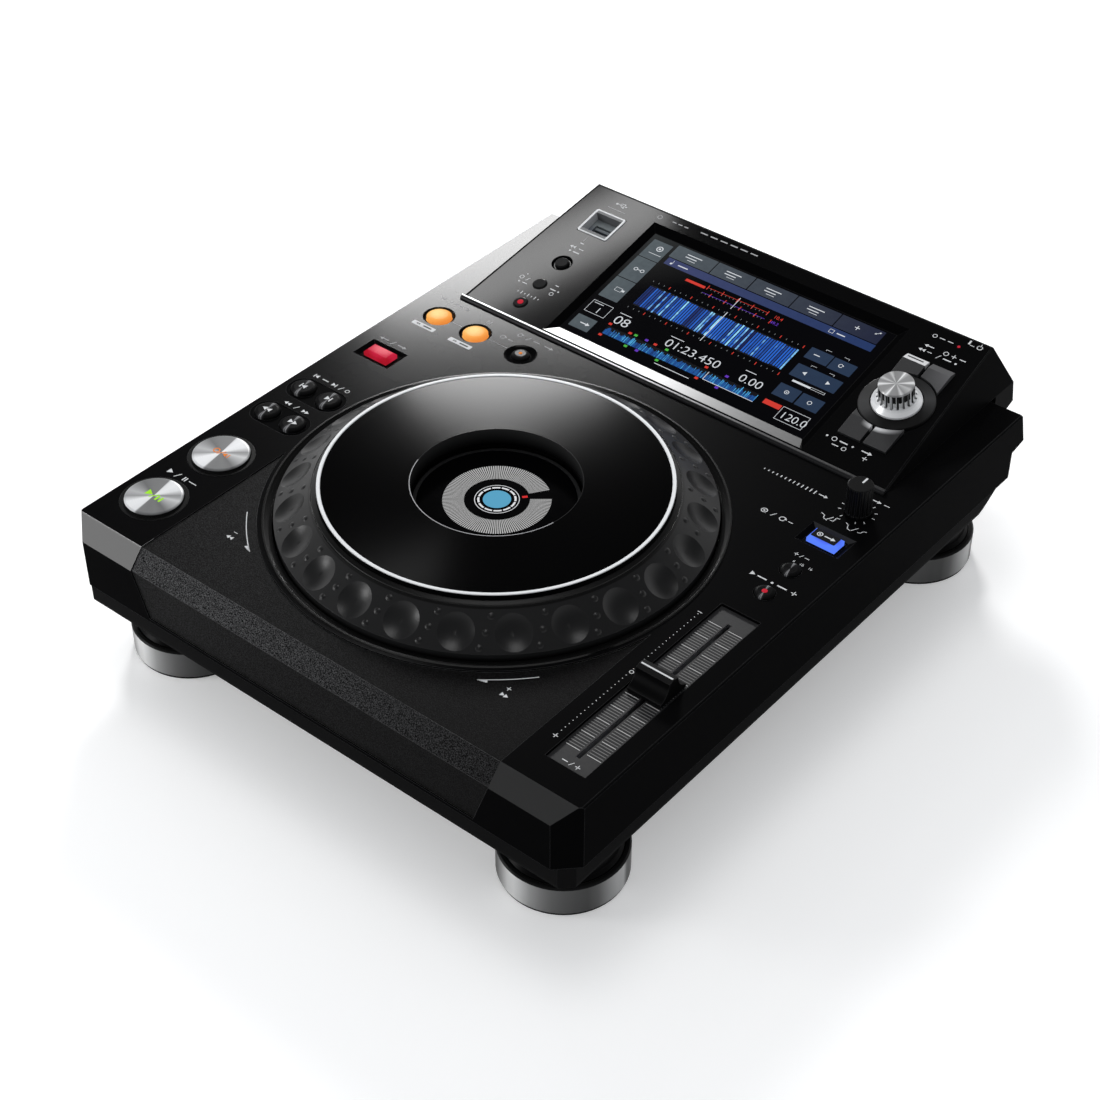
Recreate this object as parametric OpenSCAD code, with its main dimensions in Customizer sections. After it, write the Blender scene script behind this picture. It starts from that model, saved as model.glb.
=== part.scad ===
/* [Body] */
// Overall width, side to side
body_w = 306; // [296:0.5:330]
// Overall depth, front face to the back of the display housing
body_d = 384.4; // [380:0.1:410]
// Height of the deck above the table
deck_z = 83.3; // [80:0.1:95]
// Thickness of the moulded walls
wall = 2.5; // [2:0.1:3]
// Horizontal run of the bevel along the front of the deck
nose_run = 8.3; // [6:0.1:10]
// Vertical drop of the bevel along the front of the deck
nose_drop = 9.3; // [7:0.1:11]
// Diagonal cut on the two front corners
corner_cut = 10; // [6:0.5:12]
// Bevel along the upper side edges
edge_bevel = 0.9; // [0.5:0.1:1.2]
// Height of the upper shell's side wall, down to the split line
shell_h = 35.8; // [33:0.1:38]
// Depth of the bottom tray, below the split line
tray_h = 12.2; // [10:0.1:14]
// How far the tray's foot is set in from the shell
tray_inset = 2.5; // [2:0.1:4]
// Diagonal cut on the tray's front corners
tray_corner_cut = 5.6; // [4:0.1:7]
// Run of the tray's raised back edge
tray_back_run = 21; // [15:0.5:25]
// Distance from the back of the display housing to the deck's back edge
deck_back_inset = 25.7; // [22:0.1:30]
// How far the lip below the deck's back edge stands out
back_lip_out = 5.4; // [3:0.1:7]
// Height of the lip below the deck's back edge
back_lip_h = 18.3; // [15:0.1:22]
// How far the back wall is set in from the deck's back edge
back_wall_inset = 5.3; // [4:0.1:8]

/* [Front insert] */
// Width of the glossy end caps at both ends of the insert
end_cap_w = 43.6; // [41:0.1:46]
// How far the insert's lower edge is set in at each end
insert_taper = 8.9; // [5:0.1:14]
// How far the insert's lower edge stands above the split line
insert_rise = 2; // [1:0.1:5]
// Thickness of the insert
insert_t = 1.2; // [1:0.1:1.4]
// How far the insert lies below the glossy deck
insert_sink = 0.6; // [0.3:0.1:0.8]

/* [Display housing] */
// Tilt of the display panel, degrees
panel_tilt = 12.7; // [11:0.1:14]
// Distance from the deck's back edge to the panel's front edge
panel_front = 97.3; // [95:0.1:100]
// Half width of the housing where it stands on the deck
housing_half_w = 134.2; // [132:0.1:136]
// Sideways draft of the housing, millimetres per millimetre of height
housing_draft = 0.326; // [0.2:0.01:0.4]
// Height of the housing's upright back face
housing_back_h = 13.4; // [11:0.1:15]
// Lean of the upright back face
housing_back_lean = 2.8; // [1:0.1:4]
// Thickness of the panel's glossy face plate
fascia_t = 2.2; // [2:0.1:2.6]
// Width of the housing's rim round the face plate
fascia_rim = 1; // [0.8:0.1:1.5]
// Thickness of the rounded strip along the panel's front edge
trim_w = 3.8; // [3:0.1:4.4]

/* [Screen] */
// Visible width of the screen
screen_w = 154.7; // [150:0.1:158]
// Visible height of the screen
screen_h = 84.4; // [80:0.1:86]
// Sideways offset of the screen from the middle
screen_x = 1.95; // [0:0.05:3]
// Distance from the panel's front edge to the screen's sloping frame
screen_front_gap = 3.15; // [2:0.05:4]
// Distance from the screen's sloping frame to the panel's back edge
screen_back_gap = 10.05; // [8:0.05:12]
// Width of the sloping frame at the sides
screen_bevel_x = 4.5; // [3:0.1:5]
// Width of the sloping frame behind the screen
screen_bevel_s = 5.4; // [4:0.1:6]
// Width of the sloping frame in front of the screen
screen_chin_s = 7.1; // [5:0.1:8]
// Thickness of the touch glass
glass_t = 1.1; // [0.8:0.1:1.5]
// Thickness of the screen module behind the glass
module_t = 6; // [5:0.1:8]

/* [Panel controls] */
// Distance of the left column of panel controls from the middle
panel_left_x = 103.8; // [102:0.1:105]
// Distance up the panel to the quantize button
quantize_s = 12.8; // [11:0.1:15]
// Distance up the panel to the time mode button
time_mode_s = 29.4; // [27:0.1:32]
// Distance up the panel to the stick stop button
usb_stop_s = 48.6; // [46:0.1:50]
// Radius of the small panel buttons
panel_key_r = 3.8; // [3.4:0.1:4.2]
// Radius of the dished ring round the stick stop button
usb_stop_ring_r = 5.9; // [5.4:0.1:6.4]
// Distance up the panel to the middle of the stick port
usb_s = 83.5; // [82:0.1:85]
// Width of the stick port's frame
usb_frame_w = 20; // [19:0.1:20.5]
// Height of the stick port's frame
usb_frame_h = 19; // [18:0.1:19.5]
// Width of the well inside the frame
usb_well_w = 17.4; // [16.5:0.1:17.6]
// Height of the well inside the frame
usb_well_h = 13.6; // [13:0.1:15]
// Depth of the well inside the frame
usb_well_d = 5; // [4.6:0.1:6]
// Distance of the selector from the middle
selector_x = 106.5; // [105:0.1:108]
// Distance up the panel to the selector
selector_s = 53; // [52:0.1:54]
// Outer radius of the selector's collar
collar_r = 19.2; // [18.5:0.1:19.6]
// Radius of the selector knob's skirt
selector_skirt_r = 12.9; // [12:0.1:13.2]
// Radius of the selector knob's grip
selector_r = 9.2; // [8.5:0.1:9.6]
// Height of the selector knob above the panel
selector_h = 14; // [13:0.1:17]
// Number of flutes round the selector knob
selector_flutes = 20; // [14:1:24]
// Width of the four keys round the selector
arc_key_w = 12.8; // [12:0.1:13.2]
// Gap between the left and right keys
arc_key_gap = 2; // [1.4:0.1:2.6]
// Distance from the selector's middle to the keys' outer edge
arc_key_reach = 31.4; // [30:0.1:32.5]

/* [Jog wheel] */
// Sideways place of the jog wheel's axis
jog_x = -1; // [-2:0.1:1]
// Distance from the body's side to the jog wheel's raised lip
jog_side_gap = 43; // [42:0.1:46]
// Distance from the deck's front edge to the raised lip
jog_front_gap = 16.6; // [15:0.1:20]
// Distance from the raised lip to the panel's front edge
jog_back_gap = 16.5; // [15:0.1:20]
// Width of the raised lip
lip_w = 1.2; // [0.8:0.1:1.6]
// Height of the raised lip
lip_h = 0.7; // [0.4:0.1:1]
// Width of the glossy rim between the lip and the matte insert
rim_w = 2.1; // [1.5:0.1:2.5]
// Distance from the raised lip in to the jog dial's edge
dial_inset = 4.6; // [4.4:0.1:6]
// Height of the dial's lower rim above the deck
dial_rim_z = 2.3; // [1.5:0.1:3]
// Width of the dial's dimpled slope, seen from above
dial_slope_w = 18.1; // [17.8:0.1:19]
// Height of the end of the slope above the deck
dial_crown_z = 14.7; // [14:0.1:16]
// Depth of the dial's skirt below its rim
dial_skirt_h = 7; // [5:0.1:9]
// Number of finger dimples round the dial
dimple_count = 24; // [18:1:24]
// Radius of a finger dimple
dimple_r = 8.9; // [8:0.1:9.1]
// Depth of a finger dimple
dimple_d = 2; // [1.2:0.1:2.2]
// Radius of a raised grip dot
dot_r = 1.6; // [1.2:0.1:1.8]
// Height of a raised grip dot
dot_h = 0.45; // [0.3:0.05:0.6]
// Distance from the top of the slope in to the top plate's edge
plate_inset = 2.8; // [2.4:0.1:4]
// Height of the top plate's edge above the deck
plate_z = 18.3; // [17.8:0.1:19.5]
// Thickness of the top plate
plate_t = 1.8; // [1.4:0.1:2]
// How far the top plate dips towards its window
plate_dip = 1.7; // [1:0.1:2]
// Radius of the window in the top plate
window_r = 40.8; // [40.2:0.1:41.4]
// Width of the white ring on the top plate
white_ring_w = 2.1; // [1.5:0.1:3]
// Height of the jog display's face above the deck
jog_display_z = 5.6; // [4.5:0.1:6.5]
// Depth of the jog wheel's well below the deck
well_d = 21.3; // [20:0.1:24]
// Radius of the fixed post under the display
post_r = 40; // [39:0.1:40.4]
// Wall of the bearing ring on the post
bearing_t = 3; // [2.5:0.1:3.5]

/* [Left controls] */
// Distance of the left column of controls from the side
left_inset = 21.4; // [20:0.1:22.5]
// Distance from the deck's front edge to the play button
play_front = 28.3; // [26:0.1:30]
// Distance from the play button to the cue button
cue_pitch = 44; // [42:0.1:46]
// Radius of the play and cue buttons
play_r = 14.2; // [13:0.1:14.6]
// Width of the bezel ring round the play and cue buttons
bezel_w = 2; // [1.5:0.1:2.4]
// Distance from the cue button to the search buttons
search_pitch = 40.3; // [39:0.1:42]
// Distance from the search buttons to the track buttons
track_pitch = 25.6; // [24:0.1:27]
// Distance between the two buttons of a pair
pair_gap = 17.5; // [16.8:0.1:18.5]
// Radius of the search and track buttons
search_r = 6.6; // [6:0.1:7]
// Distance from the track buttons to the direction button
direction_pitch = 47.6; // [46:0.1:50]
// Distance from the direction button to the loop buttons
loop_pitch = 45.7; // [44:0.1:46.5]
// Distance from the loop buttons to the panel's front edge
loop_back = 21.6; // [20:0.1:24]
// Distance between the loop in and loop out buttons
loop_gap = 25.5; // [24:0.1:27]
// Distance between the loop out and reloop buttons
reloop_gap = 31; // [29:0.1:33]
// Radius of the dished ring round the loop buttons
loop_ring_r = 8.8; // [8.4:0.1:9.2]
// Radius of the loop buttons
loop_r = 6.8; // [6.2:0.1:7.2]
// Radius of the reloop button
reloop_r = 4.65; // [4.2:0.05:5]

/* [Right controls] */
// Distance of the right column of controls from the side
right_inset = 21.1; // [20:0.1:22]
// Distance from the deck's back edge to the speed knob
speed_back = 117.2; // [116:0.1:119]
// Radius of the speed knob
speed_r = 6.5; // [6:0.1:7]
// Height of the speed knob
speed_h = 16.7; // [14:0.1:18]
// Distance from the speed knob to the jog mode button
jog_mode_pitch = 27.1; // [26:0.1:29]
// Distance from the jog mode button to the tempo range button
range_pitch = 28.5; // [27:0.1:30]
// Distance from the tempo range button to the master tempo button
master_pitch = 20.4; // [19:0.1:21]
// Radius of the tempo range and master tempo buttons
small_key_r = 4.9; // [4.5:0.1:5.3]
// Width of the light-up rectangular buttons
rect_key_w = 15.4; // [14:0.1:16]
// Depth, front to back, of the light-up rectangular buttons
rect_key_d = 8.8; // [8:0.1:10]
// Width of the recess round a rectangular button
rect_recess_w = 24; // [22:0.1:25]
// Depth, front to back, of the recess round a rectangular button
rect_recess_d = 16; // [15:0.1:17]

/* [Tempo slider] */
// Distance from the master tempo button to the slider's recess
slider_back_gap = 18; // [16:0.1:20]
// Distance from the slider's recess to the deck's front edge
slider_front_gap = 14.8; // [13:0.1:17]
// Width of the slider's recess
slider_w = 21.4; // [20.5:0.1:22]
// Depth of the slider's recess
slider_recess = 2; // [1.5:0.1:2.2]
// Room left at each end of the recess when the cap is pushed home
slider_end_gap = 3.2; // [0.5:0.1:5]
// Width of the slider cap
cap_w = 18.2; // [17:0.1:19.6]
// Length of the slider cap
cap_len = 18; // [16:0.1:24]
// Height of the slider cap above the deck
cap_z = 9.2; // [8:0.1:12]
// Width of the ridge on the slider cap
cap_ridge = 6.2; // [4:0.1:7]
// Radius of the finger hollows in front of and behind the ridge
cap_flank_r = 8.1; // [6:0.1:10]

/* [Button travel] */
// Travel of the round and rectangular push buttons
key_travel = 1.2; // [0.8:0.1:1.4]
// Clearance round a button in its hole
key_gap = 0.35; // [0.3:0.05:0.45]
// Travel of the jog wheel's top plate
plate_travel = 0.4; // [0.3:0.05:0.5]
// Travel of the selector knob when pressed
selector_travel = 0.8; // [0.5:0.1:1]

/* [Feet] */
// Radius of a foot
foot_r = 30.2; // [28:0.1:32]
// Distance from the body's side to the feet's axes
foot_side = 34.9; // [33:0.1:38]
// Distance from the deck's back edge to the rear feet's axes
foot_back = 32; // [30:0.1:36]
// Distance from the front face to the front feet's axes
foot_front = 39.4; // [36:0.1:42]
// Thickness of the rubber pad under a foot
pad_t = 1.2; // [1:0.1:2]
// Height of the metal band round a foot
band_h = 15.8; // [14:0.1:17]
// Thickness of the metal band
band_t = 3.1; // [2.5:0.1:3.5]

/* [Back panel] */
// How far the metal back panel's ends are set in from the body's sides
back_end_inset = 26; // [24:0.5:29]
// Height of the mains inlet's opening
inlet_h = 16.4; // [15.5:0.1:17]
// Width of the mains inlet's opening
inlet_w = 24; // [23.5:0.1:24.5]
// Distance of the mains inlet from the end of the back panel
inlet_inset = 31; // [27:0.5:37]
// Distance of the network port from the middle
link_x = 34; // [30:0.5:40]
// Distance of the computer port from the middle
usb_b_x = 8; // [4:0.5:10]
// Distance of the first round jack from the middle
jack_x = -40; // [-45:0.5:-38]
// Distance between neighbouring round jacks
jack_pitch = 19; // [17:0.5:20]
// Outer radius of a round jack's sleeve
jack_r = 4.15; // [4:0.05:4.3]
// Radius of the power button
power_r = 5; // [4.5:0.1:5.5]

/* [Inside] */
// Width of the power supply
supply_w = 50; // [45:1:52]
// Length of the power supply, front to back
supply_d = 110; // [90:1:115]
// Height of the power supply
supply_h = 30; // [20:1:32]
// Distance from the body's side to the power supply's middle
supply_side = 35; // [34:0.5:38]
// Distance from the back wall to the power supply
supply_back = 46.2; // [40:0.1:50]
// Distance from the body's side to the main board
board_side = 19; // [12:0.5:25]
// Gap between the main board and the power supply
board_supply_gap = 7; // [4:0.5:12]
// Distance from the front face to the main board
board_front = 112.2; // [90:0.1:130]
// Distance from the back wall to the main board
board_back = 91.2; // [80:0.1:110]

/* [Hidden] */
$fn = 96;

// Seams between fixed pieces, and how far a cut runs past a face
seam = 0.1;
cut = 1;

// Main planes of the body
front_y = -body_d / 2;
back_y = body_d / 2;
side_x = body_w / 2;
deck_front = front_y + nose_run;
nose_z = deck_z - nose_drop;
split_z = deck_z - shell_h;
tray_z = split_z - tray_h;
deck_back = back_y - deck_back_inset;
lip_low_y = deck_back + back_lip_out;
lip_low_z = deck_z - back_lip_h;
wall_y = deck_back - back_wall_inset;
lip_under_z = lip_low_z - 2;
panel_y = deck_back - panel_front;
insert_half_w = side_x - end_cap_w;
insert_low_half_w = insert_half_w - insert_taper;
back_half_w = side_x - back_end_inset;
inlet_x = back_half_w - inlet_inset;

// The jog wheel fills the deck's width or depth, whichever leaves less room
lip_r = min(side_x - jog_side_gap, (panel_y - deck_front - jog_front_gap - jog_back_gap) / 2);
dial_r = lip_r - dial_inset;
dial_crown_r = dial_r - dial_slope_w;
plate_r = dial_crown_r - plate_inset;

// Controls on the deck
left_x = left_inset - side_x;
right_x = side_x - right_inset;
jog_y = deck_front + jog_front_gap + lip_r;
play_y = deck_front + play_front;
loop_y = panel_y - loop_back;
// The left column's pitches as a whole, fitted between the play and loop buttons
column_fit = (loop_y - play_y) / (cue_pitch + search_pitch + track_pitch + direction_pitch + loop_pitch);
cue_y = play_y + column_fit * cue_pitch;
search_y = cue_y + column_fit * search_pitch;
track_y = search_y + column_fit * track_pitch;
direction_y = track_y + column_fit * direction_pitch;
loop_out_x = left_x + loop_gap;
reloop_x = loop_out_x + reloop_gap;
speed_y = deck_back - speed_back;
jog_mode_y = speed_y - jog_mode_pitch;
range_y = jog_mode_y - range_pitch;
master_y = range_y - master_pitch;
slider_back_y = master_y - slider_back_gap;
slider_len = slider_back_y - deck_front - slider_front_gap;
slider_y = slider_back_y - slider_len / 2;
slider_travel = slider_len - cap_len - 2 * slider_end_gap;

// Heights of the button tops above the deck, and the flange under each
play_top = 1.9;
search_top = 1.6;
loop_top = 1;
reloop_top = 0.9;
small_top = 1.2;
rect_top = 1.6;
flange_t = 1;
flange_w = 1.1;
rect_recess_depth = 1.5;
rect_floor_x = 1.6;
rect_floor_y = 1.4;
dish_d = 1.3;
pair_line_r = 9;
pair_line_d = 0.4;
bezel_t = 1.5;

// Depth from the deck's face to the key boards
board_depth = wall + flange_t + key_travel + 1.6;
board_t = 1.6;
key_board_w = 35;

// Panel and housing
panel_len = screen_front_gap + screen_chin_s + screen_h + screen_bevel_s + screen_back_gap;
screen_s = screen_front_gap + screen_chin_s + screen_h / 2;
glass_lap = 3;
module_lap = 2;
module_rim = 7;
module_dish = 1.5;
panel_top_y = panel_y + panel_len * cos(panel_tilt);
panel_top_z = deck_z + panel_len * sin(panel_tilt);
panel_fall_y = back_y - housing_back_lean;
housing_low_z = deck_z - housing_back_h;
housing_plug_half_w = housing_half_w - 1;
housing_plug_d = 4;
plug_back = wall_y - wall - 1;
top_half_w = housing_half_w - housing_draft * (panel_top_z - deck_z);
ledge_w = 4.4;
panel_key_top = 0.8;
panel_key_flange = 1;
arc_x = arc_key_gap / 2;
arc_in_r = collar_r + 1;
arc_ridge = 2.2;
arc_low = 1;
usb_x = -panel_left_x;
usb_body_d = 12;
usb_port_w = 12.5;
usb_port_h = 5.1;
usb_tongue_t = 1.8;

// Jog wheel heights and radii
well_r = dial_r + 0.9;
well_out_r = well_r + 2.4;
well_floor = deck_z - well_d;
lip_out_r = lip_r + lip_w;
rim_r = lip_out_r + rim_w;
dial_low_z = deck_z + dial_rim_z;
dial_top_z = deck_z + dial_crown_z;
dial_slope = atan((dial_crown_z - dial_rim_z) / (dial_r - dial_crown_r));
plate_top = deck_z + plate_z;
plate_gap = plate_travel + 0.35;
shoulder_r = plate_r + 0.3;
shoulder_z = plate_top - plate_t - plate_gap;
hub_r = post_r + bearing_t;
run_gap = 0.05;
hub_t = 4;
post_foot_r = hub_r + hub_t + 3;
post_foot_t = 3;
post_wall = 1.8;
post_floor_r = post_r - 6;
bearing_h = 9;
hub_low = well_floor + post_foot_t + 0.3;
web_t = 2.4;
display_t = 4.5;
dip_slope = plate_dip / (plate_r - window_r);
display_top = deck_z + jog_display_z;
dial_t = 3.8;
disc_z = deck_z - 4;
disc_t = 1;
disc_r = hub_r + hub_t + 9;
disc_slots = 48;
sleeve_gap = 0.35;
// The grip dots between two dimples: angle from the middle, and place down the slope
dot_spots = [[-1.3, 0.867], [0.2, 0.547], [1.6, 0.204]];

// Knobs
shaft_r = 3;
bush_r = 4.6;
knob_lift = 0.5;
speed_flutes = 18;
flute_r = 0.75;
slot_w = 2.2;
stem_t = 1.2;
stem_len = 5;
stem_foot_w = 7;
cap_line = 1.2;
cap_fall = 0.7;
plate_face_z = deck_z - slider_recess + 0.5;
fader_w = 17;
fader_h = 11;
power_x = 106;
encoder_low = -fascia_t - 9;
chamber_low = encoder_low + 1.2;
plunger_r = 4.6;
plunger_t = 1.4;
plunger_low = chamber_low + selector_travel + 0.3;
chamber_h = selector_travel + plunger_t + 1.2;

// Feet and back panel
foot_z = pad_t + band_h;
core_r = foot_r - band_t;
foot_boss_r = 9;
foot_boss_h = wall + 3;
foot_screw_r = 2.2;
foot_x = side_x - foot_side;
foot_y = [front_y + foot_front, deck_back - foot_back];
panel_low = tray_z + wall + seam;
panel_high = lip_under_z - 1.8;
plate2_t = 1.5;
jack_z = (panel_low + panel_high) / 2;
inlet_wall = 1.6;
slot_x = 19 - back_half_w;
jack_bore_r = 1.6;
jack_depth = 10;
jack_reach = 8.5;
port_proud = 0.4;
link_port_w = 15.2;
link_port_h = 13.2;
link_port_d = 16;
link_hole_w = 11.8;
link_hole_h = 8;
usb_b_w = 12.4;
usb_b_h = 11.4;
usb_b_d = 14;
usb_b_hole_w = 8.5;
usb_b_hole_h = 7.8;
usb_b_tongue_w = 5.6;
usb_b_tongue_h = 3.2;
lock_slot_w = 6.8;
lock_slot_h = 2.8;

// Main board and power supply, by their edges
supply_x = side_x - supply_side;
supply_y = wall_y - supply_back - supply_d / 2;
board_x = [board_side - side_x, supply_x - supply_w / 2 - board_supply_gap];
board_y = [front_y + board_front, wall_y - board_back];
board_z = split_z - 4;
board_post_r = 3.5;
board_post_x = [board_x[0] + 39, board_x[1] - 66];
board_post_y = [board_y[0] + 10, board_y[1] - 10];

// Screw wells under the tray: two down each side, two along the front and two along the back
screw_well_r = 4;
screw_well_d = 1;
screw_side = 18;
screw_end = 17;
screw_mid = 40;
screw_wells = [
    for (x = [screw_side - side_x, side_x - screw_side], y = [-screw_mid, screw_mid]) [x, y],
    for (x = [-screw_mid, screw_mid], y = [front_y + screw_end, wall_y - screw_end]) [x, y]
];

module along_x(len) {
    translate([-len / 2, 0, 0]) rotate([90, 0, 90]) linear_extrude(len) children();
}

module along_y(len) {
    rotate([90, 0, 0]) linear_extrude(len, center = true) children();
}

module on_panel() {
    translate([0, panel_y, deck_z]) rotate([panel_tilt, 0, 0]) children();
}

module on_back_slope(x) {
    fall = atan2(panel_top_z - deck_z, panel_fall_y - panel_top_y);
    translate([x, (panel_top_y + panel_fall_y) / 2, (panel_top_z + deck_z) / 2])
        rotate([-fall, 0, 0]) children();
}

module block(w, d, z0, z1) {
    translate([-w / 2, -d / 2, z0]) cube([w, d, z1 - z0]);
}

module tube(r_out, r_in, z0, z1) {
    difference() {
        translate([0, 0, z0]) cylinder(r = r_out, h = z1 - z0);
        translate([0, 0, z0 - cut]) cylinder(r = r_in, h = z1 - z0 + 2 * cut);
    }
}

// Where two faces with unit normals a and b meet, moved in by d
function mitre(p, a, b, d) = p - d * (a + b) / (1 + a * b);
function bevel_normal() = [-nose_drop, nose_run] / norm([nose_drop, nose_run]);

// Side view of the deck's front: deck, bevel and front face, moved in by d
function front_line(d, back, low) = [
    [back, deck_z - d],
    mitre([deck_front, deck_z], [0, 1], bevel_normal(), d),
    mitre([front_y, nose_z], bevel_normal(), [-1, 0], d),
    [front_y + d, low]
];

// A truncated pyramid on z0..z1, with half sizes at its foot and its top
module frustum(low, high, z0, z1) {
    intersection() {
        along_y(4 * max(low[1], high[1]))
            polygon([[-low[0], z0], [low[0], z0], [high[0], z1], [-high[0], z1]]);
        along_x(4 * max(low[0], high[0]))
            polygon([[-low[1], z0], [low[1], z0], [high[1], z1], [-high[1], z1]]);
    }
}

// ---- Covers ----

module shell_outline() {
    polygon([[deck_front, deck_z], [front_y, nose_z], [front_y, split_z], [wall_y, split_z],
             [wall_y, lip_under_z], [lip_low_y, lip_low_z], [deck_back, deck_z]]);
}

module plan_outline(inset, front_cut) {
    x = side_x - inset;
    f = front_y + inset;
    polygon([[-x, back_y], [-x, f + front_cut], [-x + front_cut, f], [x - front_cut, f],
             [x, f + front_cut], [x, back_y]]);
}

module shell_body() {
    intersection() {
        along_x(body_w) shell_outline();
        translate([0, 0, split_z - cut]) linear_extrude(shell_h + 2 * cut) plan_outline(0, corner_cut);
        along_y(2 * body_d) polygon([
            [-side_x, 0], [side_x, 0], [side_x, deck_z - edge_bevel], [side_x - edge_bevel, deck_z],
            [edge_bevel - side_x, deck_z], [-side_x, deck_z - edge_bevel]]);
    }
}

module shell_cavity() {
    intersection() {
        along_x(body_w - 2 * wall)
            polygon(concat(front_line(wall, wall_y - wall, split_z - cut), [[wall_y - wall, split_z - cut]]));
        translate([0, 0, split_z - 2 * cut]) linear_extrude(shell_h + cut)
            plan_outline(wall, corner_cut);
    }
}

module insert_shape(depth_out, depth_in, grow) {
    low = split_z + insert_rise - grow;
    difference() {
        intersection() {
            along_x(body_w) polygon(concat(
                front_line(depth_out, jog_y, low),
                [for (i = [3:-1:0]) front_line(depth_in, jog_y, low)[i]]));
            along_y(2 * body_d) polygon([
                [-insert_low_half_w - grow, low], [insert_low_half_w + grow, low],
                [insert_half_w + grow, nose_z], [insert_half_w + grow, deck_z + 2 * cut],
                [-insert_half_w - grow, deck_z + 2 * cut], [-insert_half_w - grow, nose_z]]);
        }
        translate([jog_x, jog_y, 0]) cylinder(r = rim_r - grow, h = 2 * deck_z, $fn = 180);
    }
}

module round_hole(x, y, r) {
    translate([x, y, deck_z - 2 * wall]) cylinder(r = r, h = 3 * wall);
}

module dished_hole(x, y, r, ring_r) {
    round_hole(x, y, r);
    translate([x, y, deck_z - dish_d]) cylinder(r1 = r + 0.6, r2 = ring_r, h = dish_d);
    translate([x, y, deck_z]) cylinder(r = ring_r, h = cut);
}

module pair_line(y) {
    for (side = [-1, 1])
        translate([left_x + side * pair_gap / 2, y, deck_z - pair_line_d])
            cylinder(r = pair_line_r, h = cut);
    translate([left_x, y, 0]) block(pair_gap, 2 * pair_line_r, deck_z - pair_line_d, deck_z + cut);
}

module rect_recess(x, y) {
    translate([x, y, 0]) {
        frustum([rect_key_w / 2 + rect_floor_x, rect_key_d / 2 + rect_floor_y],
                [rect_recess_w / 2, rect_recess_d / 2], deck_z - rect_recess_depth, deck_z);
        block(rect_recess_w, rect_recess_d, deck_z, deck_z + cut);
        block(rect_key_w + 2 * key_gap, rect_key_d + 2 * key_gap, deck_z - 2 * wall, deck_z);
    }
}

module board_posts() {
    low = deck_z - board_depth;
    for (p = [[left_x - 14, play_y - 22], [left_x + 14, play_y + 22], [left_x - 14, search_y - 14],
              [left_x, track_y + 22], [left_x - 14, direction_y + 20],
              [right_x - 12, range_y + 14], [right_x + 14, master_y + 6]])
        translate([p[0], p[1], low]) cylinder(r = 2.2, h = deck_z - wall / 2 - low);
}

module upper_shell() {
    color([0.05, 0.05, 0.06])
    difference() {
        union() {
            difference() {
                shell_body();
                shell_cavity();
            }
            board_posts();
        }
        insert_shape(-cut, insert_sink + insert_t, seam);
        translate([jog_x, jog_y, deck_z - 2 * wall])
            cylinder(r = well_out_r + seam, h = 3 * wall, $fn = 180);
        translate([0, (panel_y + plug_back) / 2, 0])
            block(2 * (housing_plug_half_w + seam), plug_back - panel_y + 2 * seam + 0.2,
                  deck_z - 2 * wall, deck_z + cut);
        for (y = [play_y, cue_y]) {
            round_hole(left_x, y, play_r + key_gap);
            translate([left_x, y, deck_z - bezel_t])
                cylinder(r = play_r + key_gap + bezel_w + seam, h = bezel_t + cut);
        }
        for (y = [search_y, track_y]) {
            pair_line(y);
            for (side = [-1, 1]) round_hole(left_x + side * pair_gap / 2, y, search_r + key_gap);
        }
        for (x = [left_x, loop_out_x]) dished_hole(x, loop_y, loop_r + key_gap, loop_ring_r);
        dished_hole(reloop_x, loop_y, reloop_r + key_gap, loop_ring_r);
        rect_recess(left_x, direction_y);
        rect_recess(right_x, jog_mode_y);
        for (y = [range_y, master_y]) round_hole(right_x, y, small_key_r + key_gap);
        round_hole(right_x, speed_y, bush_r + seam);
        slider_recess_cut();
        translate([0, wall_y, 0])
            block(2 * back_half_w + 2 * seam, 4 * wall, split_z - cut, panel_high + seam);
    }
}

module deck_insert() {
    color([0.09, 0.09, 0.1]) insert_shape(insert_sink, insert_sink + insert_t, 0);
}

module tray_solid(inset, drop) {
    x0 = side_x - inset;
    lean = tray_inset - 0.5;
    low = tray_z + drop;
    intersection() {
        union() {
            along_x(body_w) polygon([
                [front_y + inset, split_z], [front_y + inset + lean, low],
                [wall_y - inset - tray_back_run, low], [wall_y - inset, split_z]]);
            translate([0, wall_y - inset - tray_back_run, 0])
                block(2 * (back_half_w + wall - inset), 2 * tray_back_run, low, split_z);
        }
        along_y(2 * body_d) polygon([
            [-x0, split_z], [lean - x0, low], [x0 - lean, low], [x0, split_z]]);
        translate([0, 0, tray_z - cut]) linear_extrude(tray_h + 2 * cut)
            plan_outline(inset + 1.7, tray_corner_cut + inset / 2);
    }
}

module bottom_tray() {
    color([0.06, 0.06, 0.07])
    difference() {
        union() {
            difference() {
                tray_solid(0.5, 0);
                intersection() {
                    tray_solid(0.5 + wall, wall);
                    block(body_w, body_d, 0, split_z + cut);
                }
                translate([0, wall_y, 0])
                    block(2 * (back_half_w + seam), 2 * (plate2_t + wall + 1), tray_z + wall, deck_z);
            }
            for (x = [-foot_x, foot_x], y = foot_y)
                translate([x, y, tray_z]) cylinder(r = foot_boss_r, h = foot_boss_h);
            for (x = board_post_x, y = board_post_y)
                translate([x, y, tray_z]) cylinder(r = board_post_r, h = board_z - tray_z);
        }
        for (x = [-foot_x, foot_x], y = foot_y)
            translate([x, y, tray_z - cut]) cylinder(r = foot_screw_r, h = foot_boss_h + 2 * cut);
        for (p = screw_wells)
            translate([p[0], p[1], tray_z - cut]) cylinder(r = screw_well_r, h = screw_well_d + cut);
    }
}

// ---- Display housing ----

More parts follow.
